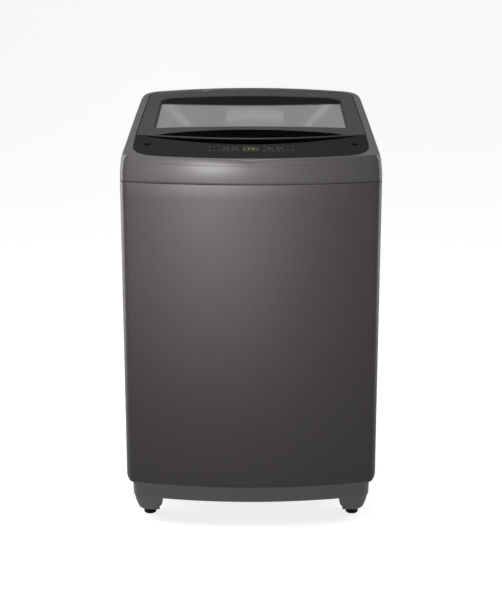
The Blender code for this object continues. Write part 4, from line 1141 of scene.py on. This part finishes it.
# %% Pulsator
def vanes(radius, height, turn):
    """Raises four tapering vanes on the upper side of the disc, with flat crests and soft flanks."""
    crest_z = np.interp(radius, [0, 0.025, 0.09, 0.160, 0.173], [0.336, 0.334, 0.330, 0.316, 0.2965])
    half = np.interp(radius, [0, 0.025, 0.09, 0.160], [0.020, 0.017, 0.013, 0.010])
    quarter = (turn + math.pi / 4) % (math.pi / 2) - math.pi / 4
    beside = np.abs(radius * np.sin(quarter))
    share = smooth((1.15 - beside / half) / 0.55)
    underside = np.interp(radius, [0, 0.020, 0.150, 0.172, 0.175], [0.3000, 0.3000, 0.2955, 0.2925, 0.2925])
    rings = 0.0006 * np.cos(radius * 2 * math.pi / 0.018) * (radius > 0.065) * (radius < 0.155)
    raised = height + rings * (1 - share) + np.maximum(crest_z - height, 0) * share
    return radius, np.where(height > underside, raised, height)


radii = np.concatenate([np.linspace(0.0, 0.06, 14), np.linspace(0.064, 0.165, 44),
                        [0.1685, 0.1715, 0.1735, 0.1745]])
heights = np.interp(radii, [0, 0.03, 0.045, 0.06, 0.165, 0.1715, 0.1745],
                    [0.336, 0.3325, 0.318, 0.310, 0.300, 0.2975, 0.2942])
under = [(0.1748, 0.2925), (0.1738, 0.2908), (0.1718, 0.2901), (0.150, 0.2940), (0.020, 0.2990), (0, 0.2990)]
profile = np.concatenate([np.column_stack([radii, heights]), under])
disc = turned("pulsator_disc", profile, (0, AXIS_Y), 360, vanes)
dress(disc, "pulsator", pale_plastic, "pulsator")

# %% [markdown]
# ## Lint filters
#
# Each filter is a shallow box on the drum's wall with a slotted face. The face is a height field over
# width and height, in which a row of slots is pressed in.

# %% Filters
def filter_rows(side):
    """For each height a closed section: the slotted face across y, and the flat back behind it."""
    z = np.linspace(0.4505, 0.6195, 220)[:, None]
    y = np.linspace(-0.0295, 0.0295, 41)[None]
    edge = smooth(np.minimum(z - 0.4505, 0.6195 - z) / 0.010) * smooth((0.0295 - np.abs(y)) / 0.008)
    slot = smooth((np.cos((z - 0.535) * 2 * math.pi / 0.010) - 0.1) / 0.4) * (np.abs(z - 0.535) < 0.066)
    slot = slot * smooth((0.022 - np.abs(y)) / 0.002)
    face = 0.2145 - 0.0105 * edge + 0.0040 * slot
    return closed_section((side * face, AXIS_Y + y, z), (side * 0.2270 + 0 * face, AXIS_Y + y, z))


for name, side in (("lint_filter_left", -1), ("lint_filter_right", 1)):
    piece = sweep(name + "_grille", filter_rows(side), loop=False, sharp=45)
    dress(piece, "drum", white_plastic, name)

# %% [markdown]
# ## The back
#
# The back cover is a pressed sheet. Its stiffening frames and its louvres are one height field: a
# ridge along the edge of each rounded rectangle, and a row of half round bumps for the louvres. Hexagon
# screws with a collar hold it along its edges. Above it stand the two threaded water inlets.

# %% Back cover
def frame_ridge(x, z, place, half):
    """A ridge along a rounded rectangle, 2.2 mm high: a bell curve of the distance to its outline."""
    qx, qz = np.abs(x - place[0]) - half[0] + 0.03, np.abs(z - place[1]) - half[1] + 0.03
    distance = np.hypot(np.maximum(qx, 0), np.maximum(qz, 0)) + np.minimum(np.maximum(qx, qz), 0) - 0.03
    return 0.0022 * np.exp(-((distance / 0.0065) ** 2))


def back_rows():
    """For each x a closed section: the pressed face from bottom to top, and the same 1 mm behind it."""
    x = np.linspace(-0.2875, 0.2875, 161)[:, None]
    z = np.linspace(0.1110, 0.8275, 301)[None]
    out = frame_ridge(x, z, (0, 0.600), (0.200, 0.125)) + frame_ridge(x, z, (0, 0.300), (0.150, 0.095))
    for row in range(7):
        middle = 0.545 + 0.018 * row
        wave = np.sqrt(np.clip(1 - ((z - middle) / 0.0055) ** 2, 0, 1))
        out = out + 0.0026 * wave * smooth((0.110 - np.abs(x)) / 0.006)
    out = np.minimum(out, 0.0030)
    return closed_section((x, 0.2989 + out, z), (x, 0.2979 + out * 0.9, z))


back = sweep("back_sheet", back_rows(), loop=False)
dress(back, "cabinet", zinc, "back_cover")


def screws(name, places):
    """Hexagon heads with a round collar, all from one turned head that is copied to every place."""
    turn = np.arange(36)[:, None] * 2 * math.pi / 36
    radius = np.array([0, 0.0050, 0.0050, 0.0034, 0.0034, 0.0028, 0]) + 0 * turn
    out = np.array([0, 0, 0.0006, 0.0009, 0.0030, 0.0034, 0.0034]) + 0 * turn
    radius = np.where((out > 0.0007) & (radius > 0.001), radius * hexagon_reach(turn), radius)
    head = np.stack([radius * np.cos(turn), out, radius * np.sin(turn)], -1)
    places = np.asarray(places)
    points = places[:, None, None, :] + head[None]
    count, rows, across = len(places), *head.shape[:2]
    here = np.arange(count * rows * across).reshape(count, rows, across)
    right, below = here[:, :, 1:], np.roll(here, -1, 1)
    faces = np.stack([here[:, :, :-1], right, below[:, :, 1:], below[:, :, :-1]], -1).reshape(-1, 4)
    return solid(name, points, faces.tolist())


spots = [(side * 0.278, 0.2990, z) for side in (-1, 1) for z in (0.16, 0.33, 0.50, 0.67, 0.80)]
spots += [(x, 0.2990, z) for x in (-0.14, 0.0, 0.14) for z in (0.136, 0.814)]
spots += [(x, 0.3022, 0.853) for x in (-0.24, 0.24)]
dress(screws("back_screws", spots), "cabinet", zinc)


# %% Threads of the water inlets
def inlet(name, x):
    """A tube along Y whose outer radius is a triangle wave of the depth, for a pipe thread."""
    y = np.linspace(0.2865, 0.3024, 61)
    wave = np.abs(((y - 0.2865) / 0.0028) % 1 - 0.5) * 2
    outer = np.column_stack([0.0133 - 0.0010 * wave, y])
    inner = np.array([(0.0092, 0.3024), (0.0092, 0.2865)])
    profile = np.concatenate([outer, inner])
    turn = np.arange(64)[:, None] * 2 * math.pi / 64
    radius, depth = profile[:, 0] + 0 * turn, profile[:, 1] + 0 * turn
    return sweep(name, np.stack([x + radius * np.cos(turn), depth, 0.872 + radius * np.sin(turn)], -1))


for name, x in INLETS.items():
    dress(inlet(name + "_inlet_thread", x), "cabinet", white_plastic)

# %% [markdown]
# ## Springs and bellows
#
# Four coil springs carry the tub, and a folded sleeve takes its drain. Each one fills the box of the
# solid that it replaces. A spring is a circle carried along a helix whose first and last turns lie
# nearly flat.

# %% Springs and bellows
WIRE = 0.0016


def coil(name, low, high):
    """Wire round a helix that fills the box from low to high: the pitch is small at both ends."""
    turns = 5.5
    t = np.linspace(0, turns, 200)[:, None]
    length = high.z - low.z - 2 * WIRE
    flat = 2.2 * WIRE
    height = low.z + WIRE + np.interp(t, (0, 0.9, turns - 0.9, turns), (0, flat, length - flat, length))
    angle, side = 2 * math.pi * t, np.linspace(0, 2 * math.pi, 13)[None, :-1]
    radius = (high.x - low.x) / 2 - WIRE + WIRE * np.cos(side)
    x = (low.x + high.x) / 2 + radius * np.cos(angle)
    y = (low.y + high.y) / 2 + radius * np.sin(angle)
    return sweep(name, np.stack([x, y, height + WIRE * np.sin(side)], -1), loop=False)


def bellows(name, low, high):
    """A tube with round folds: its radius is a cosine of the height, and the wall is 1.6 mm."""
    z = np.linspace(low.z, high.z, 109)
    middle = (high.x - low.x) / 2 - 0.0017
    radius = middle + 0.0016 * np.cos((z - low.z) / (high.z - low.z) * 9 * 2 * math.pi)
    profile = np.concatenate([np.column_stack([radius, z]), np.column_stack([radius - 0.0016, z])[::-1]])
    return turned(name, profile, ((low.x + high.x) / 2, (low.y + high.y) / 2), 48)


def hang(piece, finish, slot, node, low, high):
    """Gives the piece its finish, hides the solid that it replaces and bakes its place into its mesh."""
    piece.data.materials.clear()
    piece.data.materials.append(finish)
    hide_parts(node)
    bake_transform(piece)


for corner in FOOT_PLACES:
    node = "suspension_spring_" + corner
    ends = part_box(node)
    hang(coil("coil_spring_" + corner, *ends), bright_steel, "bearing_steel", node, *ends)
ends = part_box("drain_bellows")
hang(bellows("folded_sleeve", *ends), rubber, "black_rubber", "drain_bellows", *ends)

# %% [markdown]
# ## The solids that keep their shape
#
# Rods, shafts, bearings, the motor and the drain already have their true form in the frame.
# They only need their finish, which goes by the slot that the record gives each solid.

# %% Finishes of the remaining solids
FINISHES = {
    "painted_steel": paint, "grey_plastic": cover_paint, "lid_grey": lid_paint, "gloss_black": panel_black,
    "key_black": key_black, "clear_glass": glass, "display_lens": lens, "galvanised_steel": zinc,
    "stainless_steel": steel, "bearing_steel": bright_steel, "cast_aluminium": aluminium,
    "motor_iron": windings, "white_plastic": white_plastic, "black_rubber": rubber, "board_green": board,
}
for row in frame["record"]["subparts"]:
    data = frame["nodes"][row["node"]].data
    data.materials.clear()
    data.materials.append(FINISHES[row["material_slot"]])
    data.shade_smooth()
    data.set_sharp_from_angle(angle=math.radians(32))
shown = [node for node, piece in frame["nodes"].items() if not piece.hide_render]
print("solids shown as they are:", len(shown))

# %% [markdown]
# ## Floor, light and camera
#
# The machine stands on a plain white floor in a bright room that shines more from behind. A soft pool
# of light lies on the front and a wide lamp overhead draws the shoulder. A lamp on each side, from
# behind, picks out the upright edges. Three small ones far behind are only there to be mirrored in the
# pane. The camera looks down a little from the front with a long lens, which keeps the cabinet's sides
# upright.

# %% Floor
def floor_sheet():
    """A level sheet as a grid that turns up far behind the machine."""
    y = np.linspace(-6, 6, 61)
    z = -0.0005 + 0.9 * smooth((y - 3.0) / 3.0) * (y - 3.0).clip(0)
    x = np.linspace(-7, 7, 15)
    points = np.stack(np.broadcast_arrays(x[:, None], y[None], z[None]), -1)
    here = np.arange(points[..., 0].size).reshape(points.shape[:2])
    faces = np.stack([here[:-1, :-1], here[1:, :-1], here[1:, 1:], here[:-1, 1:]], -1).reshape(-1, 4)
    mesh = bpy.data.meshes.new("floor")
    mesh.from_pydata(points.reshape(-1, 3).tolist(), [], faces.tolist())
    mesh.shade_smooth()
    made = bpy.data.objects.new("floor", mesh)
    bpy.context.scene.collection.objects.link(made)
    return made


def white_floor():
    """A white floor that glows a little, and more so for the eye, so that only a faint shadow stays."""
    made = finish("white floor", (0.40, 0.40, 0.40), (0.42, 0.42, 0.42), 0.9, grain=3, bump=0.0,
                  specular=0.0)
    tree = made.node_tree
    shader = tree.nodes["Principled BSDF"]
    eye = shader_node(tree, "LightPath").outputs["Is Camera Ray"]
    lift = shader_node(tree, "Math", {1: 0.64, 2: 0.16}, {0: eye})
    lift.operation = "MULTIPLY_ADD"
    shader.inputs["Emission Color"].default_value = (1, 1, 1, 1)
    tree.links.new(lift.outputs["Value"], shader.inputs["Emission Strength"])
    return made


floor = floor_sheet()
floor.data.materials.append(white_floor())
print("floor:", len(floor.data.polygons), "faces")


# %% Room
def room(front, back):
    """A world that is white to the eye, and lights the machine more from behind than from the front."""
    world = bpy.data.worlds.new("room")
    bpy.context.scene.world = world
    world.use_nodes = True
    tree = world.node_tree
    sky = tree.nodes["Background"]
    eye = shader_node(tree, "LightPath").outputs["Is Camera Ray"]
    place = shader_node(tree, "TexCoord").outputs["Generated"]
    parts = shader_node(tree, "SeparateXYZ", links={"Vector": place})
    span = {"From Min": -0.55, "From Max": 0.35, "To Min": front, "To Max": back}
    level = shader_node(tree, "MapRange", span, {"Value": parts.outputs["Y"]})
    strength = shader_node(tree, "Mix", {"B": 1.0}, {"Factor": eye, "A": level.outputs["Result"]})
    sky.inputs["Color"].default_value = (1, 1, 1, 1)
    tree.links.new(strength.outputs["Result"], sky.inputs["Strength"])


room(0.13, 0.62)
print("world:", bpy.context.scene.world.name)


# %% Lights
def place_light(lamp, place, target, roll=0.0):
    """Puts a lamp at a place and turns it towards a target, rolled about its own beam."""
    made = bpy.data.objects.new(lamp.name, lamp)
    bpy.context.scene.collection.objects.link(made)
    aim = (Vector(target) - Vector(place)).to_track_quat("-Z", "Y")
    made.location = place
    made.rotation_euler = (aim @ Quaternion((0, 0, 1), math.radians(roll))).to_euler()
    made.visible_camera = False


def soft_light(name, place, target, size, power, roll=0.0):
    """A rectangular soft light."""
    lamp = bpy.data.lights.new(name, "AREA")
    lamp.shape, lamp.size, lamp.size_y, lamp.energy = "RECTANGLE", *size, power
    place_light(lamp, place, target, roll)


def pool_light(name, place, target, radius, cone, power):
    """A spot with a wholly soft edge, which lays a pool of light round its target."""
    lamp = bpy.data.lights.new(name, "SPOT")
    lamp.shadow_soft_size, lamp.spot_size, lamp.spot_blend = radius, math.radians(cone), 1.0
    lamp.energy = power
    place_light(lamp, place, target)


pool_light("sheen", (-0.40, -2.10, 1.00), (-0.07, -0.30, 0.76), 0.25, 37, 150)
soft_light("key", (-1.7, -2.6, 2.3), (-0.1, 0, 0.65), (1.4, 1.4), 8)
soft_light("overhead", (-0.35, -0.80, 2.3), (-0.05, -0.25, 0.95), (1.5, 0.5), 28)
soft_light("left_edge", (-1.6, 0.45, 0.80), (-0.28, -0.25, 0.60), (0.5, 1.7), 27)
soft_light("right_edge", (1.6, 0.45, 0.80), (0.28, -0.25, 0.60), (0.5, 1.7), 15)
soft_light("lamp_in_the_pane", (0.020, 3.0, 2.148), (0, 0.09, 0.93), (0.30, 0.050), 0.014)
soft_light("left_streak", (-0.390, 3.0, 2.066), (-0.18, 0.09, 0.93), (0.25, 0.026), 0.0045, -49)
soft_light("right_streak", (0.355, 3.0, 2.080), (0.18, 0.09, 0.93), (0.24, 0.020), 0.0050, 48)

# %% Camera
camera_data = bpy.data.cameras.new("camera")
camera_data.lens, camera_data.sensor_width = 93.36, 36
camera_data.clip_end = 50
camera = bpy.data.objects.new("camera", camera_data)
bpy.context.scene.collection.objects.link(camera)
camera.location = (0, -3.676, 1.568)
camera.rotation_euler = (math.radians(90 - 16.48), 0, 0)
bpy.context.scene.camera = camera
bpy.context.scene.view_settings.view_transform = "Standard"
